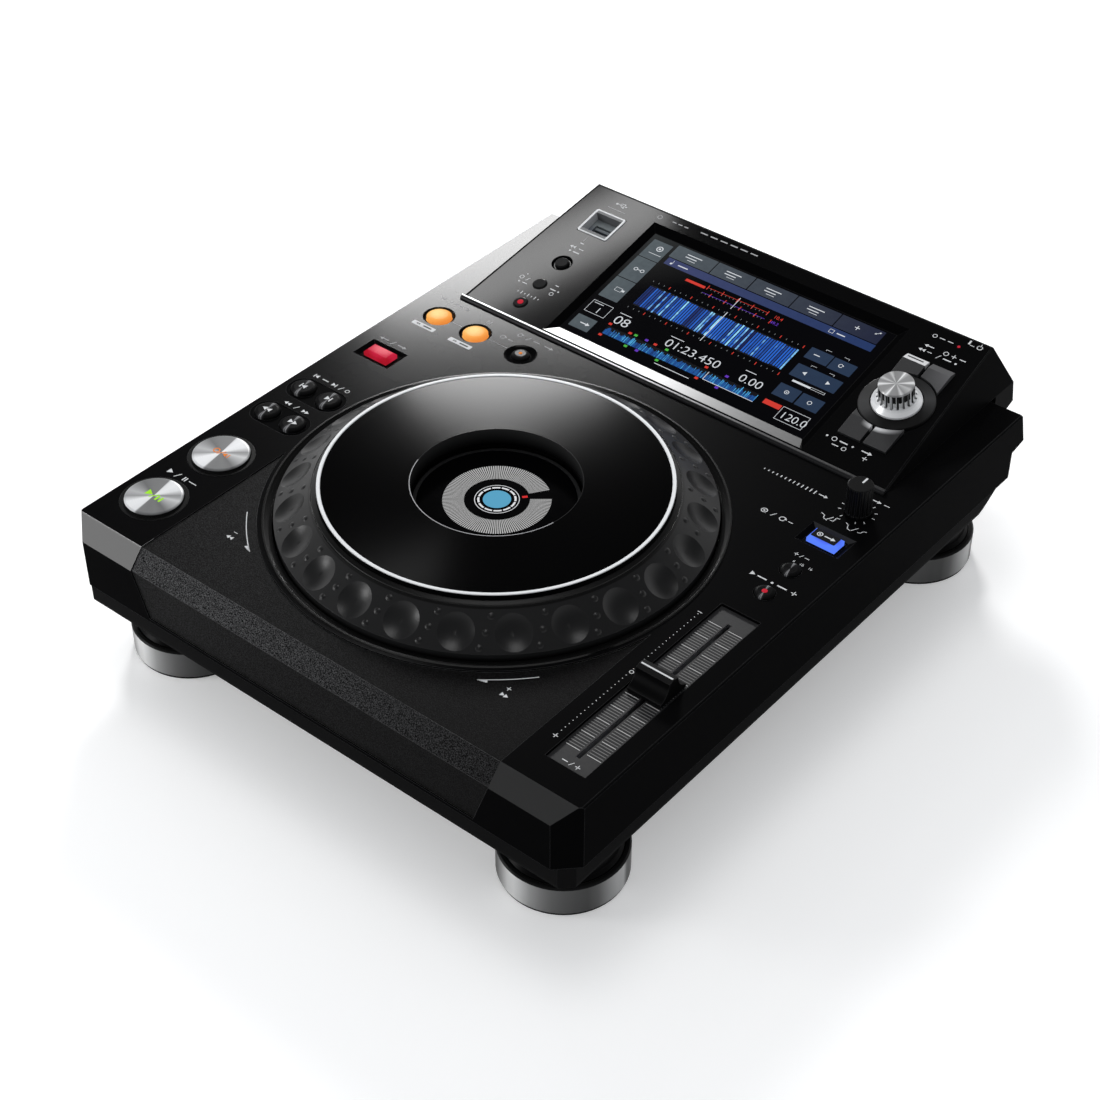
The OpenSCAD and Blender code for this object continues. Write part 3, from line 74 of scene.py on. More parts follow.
class Graph:
    # A node tree, and the steps that its sockets go through
    def __init__(self, tree):
        self.tree = tree
        tree.nodes.clear()

    def node(self, kind, **settings):
        made = self.tree.nodes.new("ShaderNode" + kind)
        for key, value in settings.items():
            setattr(made, key, value)
        return made

    def put(self, socket, value):
        if isinstance(value, Reading):
            self.tree.links.new(value.socket, socket)
        elif isinstance(value, tuple) and len(value) < len(socket.default_value):
            socket.default_value = value + (1.0,)
        else:
            socket.default_value = value

    def read(self, kind, inputs, output=0, **settings):
        made = self.node(kind, **settings)
        for key, value in inputs.items():
            self.put(made.inputs[key], value)
        return Reading(self, made.outputs[output])

    def calc(self, operation, a, b=0.0, clamp=False):
        return self.read("Math", {0: a, 1: b}, operation=operation, use_clamp=clamp)

    def blend(self, amount, first, second):
        return self.read("Mix", {0: amount, 6: first, 7: second}, 2,
                         data_type="RGBA", clamp_factor=False)

    def clouded(self, amount, colour, vary=0.2):
        # A colour that runs a little darker and lighter
        return self.blend(amount, toned(colour, 1 - vary), toned(colour, 1 + vary))

    def noise(self, where, scale, detail=2.0, rough=0.5):
        return self.read("TexNoise", {"Vector": where, "Scale": scale, "Detail": detail,
                                      "Roughness": rough}, "Fac")

    def ramp(self, amount, stops):
        band = self.node("ValToRGB")
        elements = band.color_ramp.elements
        while len(elements) < len(stops):
            elements.new(0.5)
        for element, (spot, colour) in zip(elements, stops):
            element.position = spot
            element.color = colour + (1.0,)
        self.put(band.inputs[0], amount)
        return Reading(self, band.outputs[0])

    def split(self, vector):
        parts = self.node("SeparateXYZ")
        self.put(parts.inputs[0], vector)
        return [Reading(self, part) for part in parts.outputs]

    def places(self, centre=(0, 0, 0), tilt=0.0):
        # Object coordinates in millimetres, counted from a centre on the piece
        return self.read("Mapping", {"Vector": self.read("TexCoord", {}, "Object"),
                                     "Location": tuple(v * mm for v in centre),
                                     "Rotation": (tilt, 0, 0), "Scale": (mm, mm, mm)},
                         vector_type="TEXTURE")

    def onPanel(self, x, s):
        # The same, in the tilted panel's own directions
        return self.places(panelPoint(x, s), panel["tilt"])

    def squeezed(self, where, stretch):
        return self.read("Mapping", {"Vector": where, "Scale": stretch})

    def polar(self, x, y):
        # Distance from the centre, the angle, and the angle as a share of the round
        radius = self.calc("SQRT", x * x + y * y)
        angle = self.calc("ARCTAN2", y, x)
        return radius, angle, (angle / (2 * math.pi) + 1.0).fract()

    def facing(self):
        return self.read("NewGeometry", {}, "Normal")

    def sloping(self):
        # 1 on faces that slope down to the front
        faceX, faceY, faceZ = self.split(self.facing())
        return (faceY < -0.4) * (faceZ > 0.4)

    def edges(self, reach):
        # The rounded normal near an edge, and how far it leans from the face's own
        rounded = self.read("Bevel", {"Radius": reach * mm}, samples=4)
        lean = self.read("VectorMath", {0: rounded, 1: self.facing()}, "Value",
                         operation="DOT_PRODUCT")
        return rounded, self.calc("MULTIPLY", 1.0 - lean, 6.0, True)

    def seen(self):
        # 1 for rays that the eye sees straight, in gloss or through something clear
        rays = self.node("LightPath").outputs
        straight, gloss, clear = [Reading(self, rays["Is " + kind + " Ray"])
                                  for kind in ("Camera", "Glossy", "Transmission")]
        return self.calc("MAXIMUM", self.calc("MAXIMUM", straight, gloss), clear)


class Look(Graph):
    # A material in the making
    sockets = {"colour": "Base Color", "rough": "Roughness", "metal": "Metallic",
               "gloss": "Specular IOR Level", "coat": "Coat Weight",
               "coatRough": "Coat Roughness", "coatNormal": "Coat Normal",
               "light": "Emission Color", "strength": "Emission Strength"}

    def __init__(self, name):
        self.material = bpy.data.materials.new(name)
        self.material.use_nodes = True
        super().__init__(self.material.node_tree)
        self.skin = self.node("BsdfPrincipled")
        out = self.node("OutputMaterial")
        self.tree.links.new(self.skin.outputs[0], out.inputs[0])

    def give(self, **values):
        for name, value in values.items():
            self.put(self.skin.inputs[self.sockets[name]], value)

    def bump(self, relief, depth, strength, normal=None):
        inputs = {"Height": relief, "Distance": depth * mm, "Strength": strength}
        if normal is not None:
            inputs["Normal"] = normal
        self.put(self.skin.inputs["Normal"], self.read("Bump", inputs))


def grey(tone):
    return (tone, tone, tone)


def toned(colour, share):
    return tuple(c * share for c in colour)


def panelPoint(x, s):
    # A place on the tilted panel, s up its slope
    tilt = panel["tilt"]
    return (x, panel["y"] + s * math.cos(tilt), deck["z"] + s * math.sin(tilt))


# The camera stands before the right front corner and looks down on the deck
cameraSpot = {"place": (0.5346, -0.6659, 0.7286), "right": (0.7707, 0.6372, 0.0),
              "up": (-0.4063, 0.4915, 0.7703), "back": (0.4908, -0.5937, 0.6377),
              "lens": 71.62, "sensor": 36}
cameraData = bpy.data.cameras.new("camera")
cameraData.lens = cameraSpot["lens"]
cameraData.sensor_width = cameraSpot["sensor"]
cameraData.sensor_fit = "HORIZONTAL"
camera = bpy.data.objects.new("camera", cameraData)
turned = Matrix([cameraSpot[way] for way in ("right", "up", "back")]).transposed()
camera.matrix_world = Matrix.Translation(cameraSpot["place"]) @ turned.to_4x4()
scene.collection.objects.link(camera)
scene.camera = camera

# Soft boxes: "round" is degrees left of straight behind, "rise" degrees above the table
lamps = {
    "lampDeckSheen": {"round": 41.6, "rise": 27.5, "far": 2.2, "size": (0.43, 0.31),
                      "power": 29},
    "lampPanelSheen": {"round": 56.7, "rise": 46.2, "far": 2.2, "size": (0.48, 0.081),
                       "power": 0.75},
    "lampTop": {"round": 50, "rise": 78, "far": 2.4, "size": (1.0, 1.0), "power": 13},
    "lampFrontLeft": {"round": 137.7, "rise": 17.5, "far": 1.065, "size": (0.3, 0.24),
                      "power": 2.4},
}
for lampName, spot in lamps.items():
    lampData = bpy.data.lights.new(lampName, "AREA")
    lampData.shape = "RECTANGLE"
    lampData.size, lampData.size_y = spot["size"]
    lampData.energy = spot["power"]
    lamp = bpy.data.objects.new(lampName, lampData)
    lamp.visible_camera = False
    way, rise = math.radians(spot["round"]), math.radians(spot["rise"])
    towards = Vector((-math.sin(way) * math.cos(rise), math.cos(way) * math.cos(rise),
                      math.sin(rise)))
    target = Vector((0, 0, deck["z"] * mm))
    place = towards * spot["far"] + target
    facing = (target - place).to_track_quat("-Z", "Y").to_matrix().to_4x4()
    lamp.matrix_world = Matrix.Translation(place) @ facing
    scene.collection.objects.link(lamp)

# The room: soft light all round; the eye and gloss see white walls that darken upwards
room = {"soft": (0.95, 0.97, 1.0), "strength": 0.5, "wallTop": 0.24, "ceilingFrom": 0.6,
        "ceiling": 0.03}
studio = bpy.data.worlds.new("studio")
scene.world = studio
studio.use_nodes = True
sky = Graph(studio.node_tree)
height = sky.split(sky.read("TexCoord", {}, "Generated"))[2]
shade = sky.read("MapRange", {"Value": height, "From Min": room["wallTop"],
                              "From Max": room["ceilingFrom"], "To Min": 1.0,
                              "To Max": room["ceiling"]}, interpolation_type="SMOOTHSTEP")
walls = sky.calc("MAXIMUM", shade, sky.read("LightPath", {}, "Is Camera Ray"))
softLight = sky.read("Background", {"Color": room["soft"], "Strength": room["strength"]})
wallLight = sky.read("Background", {"Color": walls})
sky.put(sky.node("OutputWorld").inputs[0],
        sky.read("MixShader", {0: sky.seen(), 1: softLight, 2: wallLight}))
print("scene: camera, lamps and room set")


def moulded(name, colour, rough, grain=1.2, depth=0.02, vary=0.25, edge=0.3, gloss=0.3,
            wearAndGlint=0.0, coat=0.0, coatRough=0.17, level=-2.0):
    # Moulded or painted: cloudy colour, fine grain, rounded edges that are a little worn, their
    # paler colour partly wear and partly a painted edge highlight.
    # The coat lies only on faces whose normal rises above the level.
    look = Look(name)
    where = look.places()
    cloud = look.noise(where, 0.02, 4.0)
    grains = look.noise(where, grain, 3.0, 0.6)
    paint = look.clouded((cloud + grains) * 0.5, colour, vary)
    normal, edgeLean = look.edges(edge)
    # Paler edges: wear, and a painted highlight along them
    look.give(colour=look.blend(edgeLean, paint, tuple(c + wearAndGlint for c in colour)),
              rough=rough - 0.05 + cloud * 0.1, gloss=gloss)
    if coat:
        upward = look.split(look.facing())[2] > level
        look.give(coat=upward * coat, coatRough=coatRough)
    look.bump(grains, depth, 0.6, normal)
    return look


def spunMetal(name, colour, rough, centre, wedges, metal=0.3, gloss=0.2, brush=9.0, tilt=0.0,
              shadow=0.25, wall=None):
    # Metal turned on a lathe: fine rings, and light and dark wedges round the centre that are
    # painted reflection
    look = Look(name)
    x, y, z = look.split(look.places(centre, tilt))
    radius, angle, turn = look.polar(x, y)
    ringPlace = look.read("CombineXYZ", {0: radius * brush, 1: angle * 0.6})
    rings = look.noise(ringPlace, 1.0, 2.0)
    wedge = look.ramp(turn, [(spot, toned(colour, tone)) for spot, tone in wedges])
    paint = look.blend(rings * 0.3, wedge, toned(colour, shadow))
    if wall is not None:  # below the rim the side is in shade
        paint = look.blend(z < wall, paint, grey(0.012))
    look.give(colour=paint, metal=metal, gloss=gloss, rough=rough + rings * 0.12)
    look.bump(rings, 0.01, 0.3, look.edges(0.25)[0])
    return look


def brushed(name, colour, rough, stretch):
    # Metal brushed along one direction
    look = Look(name)
    hairs = look.noise(look.squeezed(look.places(), stretch), 2.0, 3.0)
    look.give(colour=look.blend(hairs, toned(colour, 0.8), colour), metal=1.0,
              rough=rough - 0.06 + hairs * 0.14)
    look.bump(hairs, 0.006, 0.4, look.edges(0.25)[0])
    return look


def litKey(name, rim, middle, hot, centre, reach, strength=0.9):
    # A clear cap lit from below: brightest over the lamp, darker towards the rim
    look = Look(name)
    x, y, z = look.split(look.places(centre))
    acrossX, acrossY = x / reach[0], y / reach[1]
    grains = look.noise(look.places(), 0.8)
    away = acrossX * acrossX + acrossY * acrossY + (grains - 0.5) * 0.25
    look.give(light=look.ramp(away, [(0.0, hot), (0.5, middle), (1.0, rim)]),
              colour=toned(middle, 0.12), strength=strength, gloss=0.01,
              rough=0.22 + grains * 0.1)
    look.bump(grains, 0.01, 0.3, look.edges(0.35)[0])
    return look


def inkColour(name, colour, glow=0.0):
    # Printed ink, or a lit pixel when it glows
    look = Look(name)
    grains = look.noise(look.places(), 4.0)
    tone = look.blend(grains, toned(colour, 0.82), colour)
    look.give(colour=toned(colour, 0.05) if glow else tone, rough=0.5 + grains * 0.1,
              gloss=0.02)
    if glow:
        look.give(light=tone, strength=glow)
    return look


def dress(look, *names):
    for name in names:
        holder = nodes[name].data
        holder.materials.clear()
        holder.materials.append(look.material)


shell = {"colour": (0.0024, 0.0024, 0.0026), "wearAndGlint": (0.06, 0.06, 0.062), "top": 82.9,
         "topCoat": 0.15, "capCoat": 0.34, "coatRough": 0.132, "brightEdge": grey(0.5),
         "edgeY": -176.0, "edgeDrop": 0.3, "rightCap": grey(0.03), "gloss": 0.002,
         "rough": 0.36}


def shellLook():
    # Gloss lacquer on the deck and on the sloping front of its two end caps
    look = Look("shellLacquer")
    where = look.places()
    x, y, z = look.split(where)
    cloud = look.noise(where, 0.02, 4.0)
    grains = look.noise(where, 2.5, 3.0)
    normal, edgeLean = look.edges(0.35)
    # Edges paler: wear, and a painted edge highlight
    paint = look.blend(edgeLean, look.clouded(cloud, shell["colour"]), shell["wearAndGlint"])
    # Painted highlight: a bright line along the left cap's upper edge
    leftCap = (y < shell["edgeY"]) * (x < 0.0) * (z > shell["top"] - shell["edgeDrop"])
    paint = look.blend(edgeLean * leftCap, paint, shell["brightEdge"])
    onTop, onCap = z > shell["top"], look.sloping()
    # Painted sheen: the right cap's sloping front is a paler grey
    look.give(colour=look.blend(onCap * (x > 0.0), paint, shell["rightCap"]),
              coat=onTop * shell["topCoat"] + onCap * shell["capCoat"],
              coatRough=shell["coatRough"], gloss=shell["gloss"],
              rough=shell["rough"] + cloud * 0.08)
    look.bump(grains, 0.002, 0.5, normal)
    return look


plate = {"colour": (0.001, 0.001, 0.0011), "wearAndGlint": grey(0.008), "coat": 0.12,
         "coatRough": 0.13, "crown": 0.078, "rough": 0.36, "wall": grey(0.03),
         "wallReach": 41.0, "wallFade": (91.0, 99.9)}


def plateLook():
    # The plate's lacquer stands slightly crowned over the disc
    look = Look("plateLacquer")
    where = look.places((jogX, jogY, 0))
    x, y, z = look.split(where)
    radius, angle, turn = look.polar(x, y)
    grains = look.noise(where, 1.5, 3.0)
    normal, edgeLean = look.edges(0.2)
    # Edges paler: wear, and a painted edge highlight
    paint = look.blend(edgeLean, look.clouded(grains, plate["colour"]), plate["wearAndGlint"])
    # Painted sheen: the window's inner wall turns grey towards its top
    wall = (radius < plate["wallReach"]) * z.fade(*plate["wallFade"])
    crown = look.read("Bump", {"Strength": 1.0, "Distance": mm,
                               "Height": radius * -plate["crown"]})
    look.give(colour=look.blend(wall, paint, plate["wall"]), coat=plate["coat"],
              coatRough=plate["coatRough"], coatNormal=crown, gloss=0.0,
              rough=plate["rough"] + grains * 0.08)
    look.bump(grains, 0.002, 0.3, normal)
    return look


stickPort = {"place": (-103.8, 83.5), "line": 8.6, "silver": (0.66, 0.67, 0.68),
             "dimmed": (0.5, 0.51, 0.52), "side": (0.14, 0.145, 0.15),
             "slate": (0.2, 0.22, 0.23), "blue": (0.02, 0.02, 0.07), "blueFade": (-6.5, 2.0)}


def socketLook():
    # Slate shutter of the stick port, bluer towards its front edge
    look = Look("shutterSlate")
    where = look.onPanel(*stickPort["place"])
    x, s, n = look.split(where)
    cloud = look.noise(where, 0.3)
    slope = s.fade(*stickPort["blueFade"]) + cloud * 0.1
    look.give(colour=look.blend(slope, stickPort["blue"], stickPort["slate"]), gloss=0.05,
              rough=0.4 + cloud * 0.1)
    look.bump(cloud, 0.01, 0.3, look.edges(0.2)[0])
    return look


def portFrameLook():
    # Frame of the stick port: a thin silver edge round darker sloping sides
    look = Look("portFrameMetal")
    where = look.onPanel(*stickPort["place"])
    x, s, n = look.split(where)
    line = look.calc("MAXIMUM", abs(x), abs(s)) > stickPort["line"]
    grains = look.noise(where, 1.5)
    silver = look.blend(grains, stickPort["dimmed"], stickPort["silver"])
    look.give(colour=look.blend(line, stickPort["side"], silver), metal=0.2, gloss=0.1,
              rough=0.3 + grains * 0.1)
    look.bump(grains, 0.004, 0.3, look.edges(0.2)[0])
    return look


insertGrain = {"dark": grey(0.002), "light": (0.021, 0.021, 0.0215), "wearAndGlint": grey(0.14),
               "specks": (0.42, 0.66), "gloss": 0.02, "bevel": 6.5, "rightShade": (-70.0, 110.0),
               "rightTone": 0.33, "rough": 0.45}


def grainLook():
    # Coarse textured paint: pale specks on black
    look = Look("texturedPaint")
    where = look.places()
    specks = look.noise(where, 2.1, 2.0, 0.6).fade(*insertGrain["specks"])
    fine = look.noise(where, 3.2)
    normal, edgeLean = look.edges(0.4)
    # Painted highlight and shade: the pale specks crowd on the sloping front edge, and thin out to
    # the right
    x, y, z = look.split(where)
    litBevel = 1.0 + look.sloping() * (insertGrain["bevel"] - 1.0)
    shadedRight = 1.0 - x.fade(*insertGrain["rightShade"]) * (1.0 - insertGrain["rightTone"])
    paint = look.blend(specks * (litBevel * shadedRight), insertGrain["dark"], insertGrain["light"])
    # Edges paler: wear, and a painted edge highlight
    look.give(colour=look.blend(edgeLean, paint, insertGrain["wearAndGlint"]), gloss=insertGrain["gloss"],
              rough=insertGrain["rough"] + fine * 0.1)
    look.bump(specks, 0.06, 0.6, normal)
    return look


# The body, the controls and what lies inside
dress(shellLook(), "upper_shell")
dress(moulded("housingBlack", (0.0035, 0.0035, 0.0037), 0.4, 2.5, 0.002, edge=0.35,
              gloss=0.005, wearAndGlint=0.03), "display_housing")
dress(moulded("coreBlack", (0.0035, 0.0035, 0.0037), 0.3, 1.5, 0.01, gloss=0.04), "foot_cores")
dress(moulded("panelBlack", (0.0018, 0.0018, 0.002), 0.4, 2.5, 0.002, gloss=0.0, wearAndGlint=0.02,
              coat=0.86, coatRough=0.08, level=0.95), "display_fascia")
dress(grainLook(), "deck_insert")
dress(moulded("trayBlack", (0.007, 0.007, 0.0072), 0.5, 1.5, edge=0.4, gloss=0.006,
              wearAndGlint=0.02), "bottom_tray")
dress(moulded("wellBlack", grey(0.0025), 0.3, 1.4, 0.004, gloss=0.02, wearAndGlint=0.03, coat=0.5,
              coatRough=0.14), "jog_well")
dress(moulded("bezelBlack", grey(0.004), 0.3, 1.4, 0.01, edge=0.2, gloss=0.06, wearAndGlint=0.03),
      "transport_bezels")
dress(plateLook(), "jog_plate")
dress(moulded("whiteRing", (0.72, 0.73, 0.74), 0.35, 1.2, 0.005, 0.06, 0.1, 0.1),
      "jog_plate_ring")
dress(moulded("keyBlack", (0.008, 0.008, 0.0085), 0.3, 1.6, 0.01, gloss=0.06, wearAndGlint=0.03),
      "reloop_button", "usb_stop_button", "time_mode_button", "quantize_button",
      "power_button")
dress(moulded("capBlack", (0.003, 0.003, 0.0032), 0.3, 1.6, 0.004, edge=0.5, gloss=0.05,
              wearAndGlint=0.03), "tempo_slider", "speed_knob")
dress(socketLook(), "usb_socket")
dress(portFrameLook(), "usb_frame")
dress(moulded("socketBlack", (0.012, 0.012, 0.0125), 0.5, 1.6, edge=0.2, gloss=0.2),
      "jog_spindle", "jog_sensor", "ac_inlet")
dress(moulded("rubber", grey(0.012), 0.75, 1.2, 0.05, 0.35, 0.4, 0.1), "foot_pads")
dress(moulded("boardGreen", (0.01, 0.08, 0.03), 0.35, 0.8, 0.01, edge=0.1, gloss=0.5),
      "circuit_boards")
dress(moulded("panelPaint", (0.018, 0.018, 0.019), 0.45, 2.2, edge=0.2, gloss=0.2),
      "rear_panel")
dress(brushed("plainSteel", (0.55, 0.56, 0.58), 0.38, (0.05, 2.0, 2.0)), "lcd_module",
      "selector_encoder", "selector_plunger", "tempo_fader", "speed_pot", "power_supply",
      "link_port", "usb_b_port", "jog_encoder_disc")
dress(brushed("jackMetal", (0.72, 0.66, 0.52), 0.25, (2.0, 0.05, 2.0)), "audio_jacks")
dress(brushed("bearingBrass", (0.6, 0.45, 0.2), 0.3, (0.05, 0.05, 3.0)), "jog_bearing")

# Painted reflection wedges on a turned disc: turn from +X as a share of the round, and tone
silverWedges = [
    (0.0, 0.32), (0.03, 0.42), (0.056, 0.56), (0.085, 0.32), (0.111, 0.23), (0.14, 0.52),
    (0.167, 0.76), (0.222, 0.84), (0.268, 0.8), (0.281, 0.62), (0.286, 0.16), (0.333, 0.155),
    (0.389, 0.147), (0.444, 0.112), (0.5, 0.27), (0.556, 0.45), (0.611, 0.29), (0.64, 0.62),
    (0.667, 0.86), (0.722, 0.84), (0.768, 0.78), (0.778, 0.24), (0.785, 0.15), (0.833, 0.136),
    (0.889, 0.144), (0.944, 0.107), (1.0, 0.32)]
blackWedges = [
    (0.0, 0.02), (0.2, 0.03), (0.245, 0.1), (0.258, 1.0), (0.27, 0.15), (0.285, 1.3),
    (0.297, 0.15), (0.33, 0.03), (0.5, 0.015), (0.7, 0.03), (0.745, 0.1), (0.758, 0.9),
    (0.77, 0.15), (0.785, 1.2), (0.797, 0.1), (0.83, 0.02), (1.0, 0.02)]
silverKeys = {"play": -155.6, "cue": -111.6}
blackKeys = {
    "search_back": (leftX - deck["keyHalf"], -71.3),
    "search_forward": (leftX + deck["keyHalf"], -71.3),
    "track_back": (leftX - deck["keyHalf"], -45.7),
    "track_forward": (leftX + deck["keyHalf"], -45.7),
    "tempo_range": (rightX, -6.3), "master_tempo": (rightX, -26.7),
}
for keyName, keyY in silverKeys.items():
    dress(spunMetal(keyName + "_buttonMetal", (0.93, 0.94, 0.95), 0.3, (leftX, keyY, 0),
                    silverWedges, 0.1, 0.12, wall=84.5), keyName + "_button")
for keyName, keyPlace in blackKeys.items():
    dress(spunMetal(keyName + "_buttonMetal", (0.3, 0.3, 0.31), 0.25, keyPlace + (0,),
                    blackWedges, 0.0, 0.01, shadow=0.0), keyName + "_button")

orangeRim, orange, orangeHot = (0.85, 0.27, 0.05), (0.93, 0.42, 0.1), (0.98, 0.68, 0.26)
for glowName, keyName, keyX in (("loopInGlow", "loop_in_button", leftX),
                                ("loopOutGlow", "loop_out_button", leftX + deck["loopStep"])):
    dress(litKey(glowName, orangeRim, orange, orangeHot, (keyX - 2.2, loopY + 0.6, 0),
                 (8.6, 8.6), 0.95), keyName)
dress(litKey("directionGlow", (0.4, 0.008, 0.02), (0.62, 0.02, 0.06), (0.85, 0.16, 0.2),
             (leftX, 4.4, 0), (9.5, 7.5)), "direction_button")
dress(litKey("jogModeGlow", (0.1, 0.22, 1.0), (0.07, 0.13, 0.8), (0.03, 0.05, 0.4),
             (rightX, 23.2, 0), (8.6, 5.4), 1.0), "jog_mode_button")
print("scene: body and keys dressed")

# The wheel's sloping rim is satin; inside it a gloss band runs up to the plate
dial = {"slope": (0.013, 0.013, 0.0134), "band": (0.003, 0.003, 0.0031), "bandEdge": 88.4,
        "wearAndGlint": 3.2, "paintedShade": grey(0.001), "gloss": 0.3, "rough": 0.34, "shadeReach": 1.8,
        "shadePower": 2.2}


def dialLook():
    look = Look("dialSatin")
    x, y, z = look.split(look.places((jogX, jogY, 0)))
    radius, angle, turn = look.polar(x, y)
    cloud = look.noise(look.places(), 0.03, 3.0)
    grains = look.noise(look.places(), 2.2, 3.0)
    normal, edgeLean = look.edges(0.25)
    # Edges paler: wear, and a painted highlight on the grip dots' rims
    paint = look.blend(edgeLean, look.clouded(grains, dial["slope"], 0.15),
                       toned(dial["slope"], dial["wearAndGlint"]))
    # Painted shade round the grip dots and at the rims of the dimples
    hollow = look.read("AmbientOcclusion", {"Distance": dial["shadeReach"] * mm}, "AO",
                       samples=8)
    unshaded = look.calc("POWER", hollow, dial["shadePower"])
    paint = look.blend(unshaded, dial["paintedShade"], paint)
    look.give(colour=look.blend(radius > dial["bandEdge"], dial["band"], paint),
              gloss=dial["gloss"], rough=dial["rough"] - 0.04 + cloud * 0.08)
    look.bump(grains, 0.006, 0.4, normal)
    return look


dress(dialLook(), "jog_dial")

# The round display: radial bars with a gap, a red hand, a segmented ring, a pale blue disc
jogFace = {"bars": (15.6, 25.8), "barCount": 144, "barShare": 0.42, "gap": 47.3,
           "gapHalf": 7.6, "ring": (8.3, 9.3), "segments": 12, "segmentShare": 0.84,
           "thin": (10.4, 10.75), "disc": 6.7, "hand": (12.0, 14.6), "handHalf": 0.75}


def jogDisplayLook():
    look = Look("jogDisplayFace")
    x, y, z = look.split(look.places((jogX, jogY, 0)))
    radius, angle, turn = look.polar(x, y)
    bars = (turn * jogFace["barCount"]).fract() > jogFace["barShare"]
    pastGap = abs(turn * 360.0 - jogFace["gap"]) > jogFace["gapHalf"]
    outer = radius.between(*jogFace["bars"]) * (bars * pastGap)
    segments = (turn * jogFace["segments"]).fract() < jogFace["segmentShare"]
    lines = look.calc("MAXIMUM", radius.between(*jogFace["ring"]) * segments,
                      radius.between(*jogFace["thin"]))
    gapX, gapY = math.cos(math.radians(jogFace["gap"])), math.sin(math.radians(jogFace["gap"]))
    along, across = x * gapX + y * gapY, y * gapX - x * gapY
    hand = along.between(*jogFace["hand"]) * (abs(across) < jogFace["handHalf"])
    colour = look.blend(outer, grey(0.0), grey(0.46))
    colour = look.blend(lines, colour, (0.75, 0.76, 0.78))
    colour = look.blend(radius < jogFace["disc"], colour, (0.1, 0.36, 0.55))
    colour = look.blend(hand, colour, (0.7, 0.03, 0.03))
    smear = look.noise(look.places(), 0.1)
    look.give(colour=(0.001, 0.001, 0.0012), light=colour, strength=1.0, gloss=0.02,
              rough=0.08 + smear * 0.04)
    return look


dress(jogDisplayLook(), "jog_display")

# Graduated plate beside the slot: bare ends, fine lines, and a bolder one each centimetre
scalePlate = {"y": -106.9, "inner": 1.9, "outer": 9.3, "half": 50.6, "fine": (10 / 6, 0.42),
              "bold": (10.0, 0.4)}


def scaleLook():
    look = Look("tempoScale")
    x, y, z = look.split(look.places((rightX, scalePlate["y"], 0)))
    inBand = abs(x).between(scalePlate["inner"], scalePlate["outer"])
    area = inBand * (abs(y) < scalePlate["half"])

    def lines(pitch, wide):
        return abs((y / pitch + 100.5).fract() - 0.5) < wide / pitch / 2

    cloud = look.noise(look.places(), 0.9, 3.0)
    base = look.blend(cloud, (0.018, 0.018, 0.019), (0.027, 0.027, 0.028))
    base = look.blend(area, base, (0.011, 0.011, 0.012))
    base = look.blend(area * lines(*scalePlate["fine"]), base, grey(0.14))
    base = look.blend(area * lines(*scalePlate["bold"]), base, grey(0.42))
    look.give(colour=base, gloss=0.1, rough=0.35 + cloud * 0.1)
    look.bump(cloud, 0.01, 0.4)
    return look


dress(scaleLook(), "tempo_scale_plate")

# Places on the screen are counted from its far left corner for tones that fade across it
screenCorner = (-75.0, 94.0)


def glassLook():
    # Touch glass over a dark picture, with a painted reflection: a faint cool glow towards its far
    # left corner
    look = Look("touchGlass")
    x, s, n = look.split(look.onPanel(*screenCorner))
    glassSheen = look.ramp(x * 0.012 - s * 0.016, [(0.0, (0.024, 0.027, 0.028)), (0.45, grey(0.012)),
                                             (0.85, (0.0015, 0.0015, 0.002))])
    smear = look.noise(look.places(), 0.05, 3.0)
    look.give(colour=(0.001, 0.001, 0.0012), light=glassSheen, strength=1.0, gloss=0.02,
              rough=0.08 + smear * 0.06)
    return look


dress(glassLook(), "touch_glass")

# Selector: turned top with painted reflection wedges, fluted side with painted shade in its black
# hollows, bright skirt
selector = {"place": (106.5, 53.0), "flutes": 20, "topZ": 13.2, "skirtZ": 4.4, "neck": 9.12,
            "streaks": 37.0, "hollow": (0.42, 0.47), "skirt": (0.9, 0.91, 0.92),
            "side": (0.82, 0.83, 0.84), "dark": grey(0.006)}
chromeWedges = [
    (0.0, 0.5), (0.03, 0.26), (0.06, 0.3), (0.09, 0.9), (0.12, 0.28), (0.2, 0.3),
    (0.235, 0.55), (0.25, 0.95), (0.275, 0.28), (0.36, 0.24), (0.39, 0.6), (0.42, 0.28),
    (0.47, 0.3), (0.5, 0.6), (0.53, 0.26), (0.56, 0.3), (0.59, 0.9), (0.62, 0.28), (0.7, 0.3),
    (0.735, 0.55), (0.75, 0.95), (0.775, 0.28), (0.86, 0.24), (0.89, 0.6), (0.92, 0.26),
    (1.0, 0.5)]
collarWedges = [
    (0.0, 0.25), (0.05, 0.6), (0.1, 1.0), (0.17, 0.5), (0.25, 0.12), (0.4, 0.1), (0.5, 0.35),
    (0.58, 0.95), (0.64, 1.0), (0.7, 0.35), (0.78, 0.06), (0.9, 0.05), (0.96, 0.12),
    (1.0, 0.25)]


def selectorLook():
    look = Look("selectorChrome")
    where = look.onPanel(*selector["place"])
    x, s, n = look.split(where)
    radius, angle, turn = look.polar(x, s)
    top = look.ramp(turn, [(spot, (tone, tone, tone * 1.01)) for spot, tone in chromeWedges])
    wave = look.calc("SINE", angle * selector["flutes"])
    streaks = look.noise(look.read("CombineXYZ", {0: turn * selector["streaks"]}), 1.0)
    hollow = (streaks + wave * 0.06).fade(*selector["hollow"])
    side = look.blend((radius < selector["neck"]) * hollow, selector["side"], selector["dark"])
    colour = look.blend(n > selector["skirtZ"], selector["skirt"], side)
    rings = look.noise(where, 0.5)
    look.give(colour=look.blend(n > selector["topZ"], colour, top), metal=0.3,
              rough=0.26 + rings * 0.06)
    look.bump(rings, 0.001, 0.2)
    return look


dress(selectorLook(), "selector_knob")
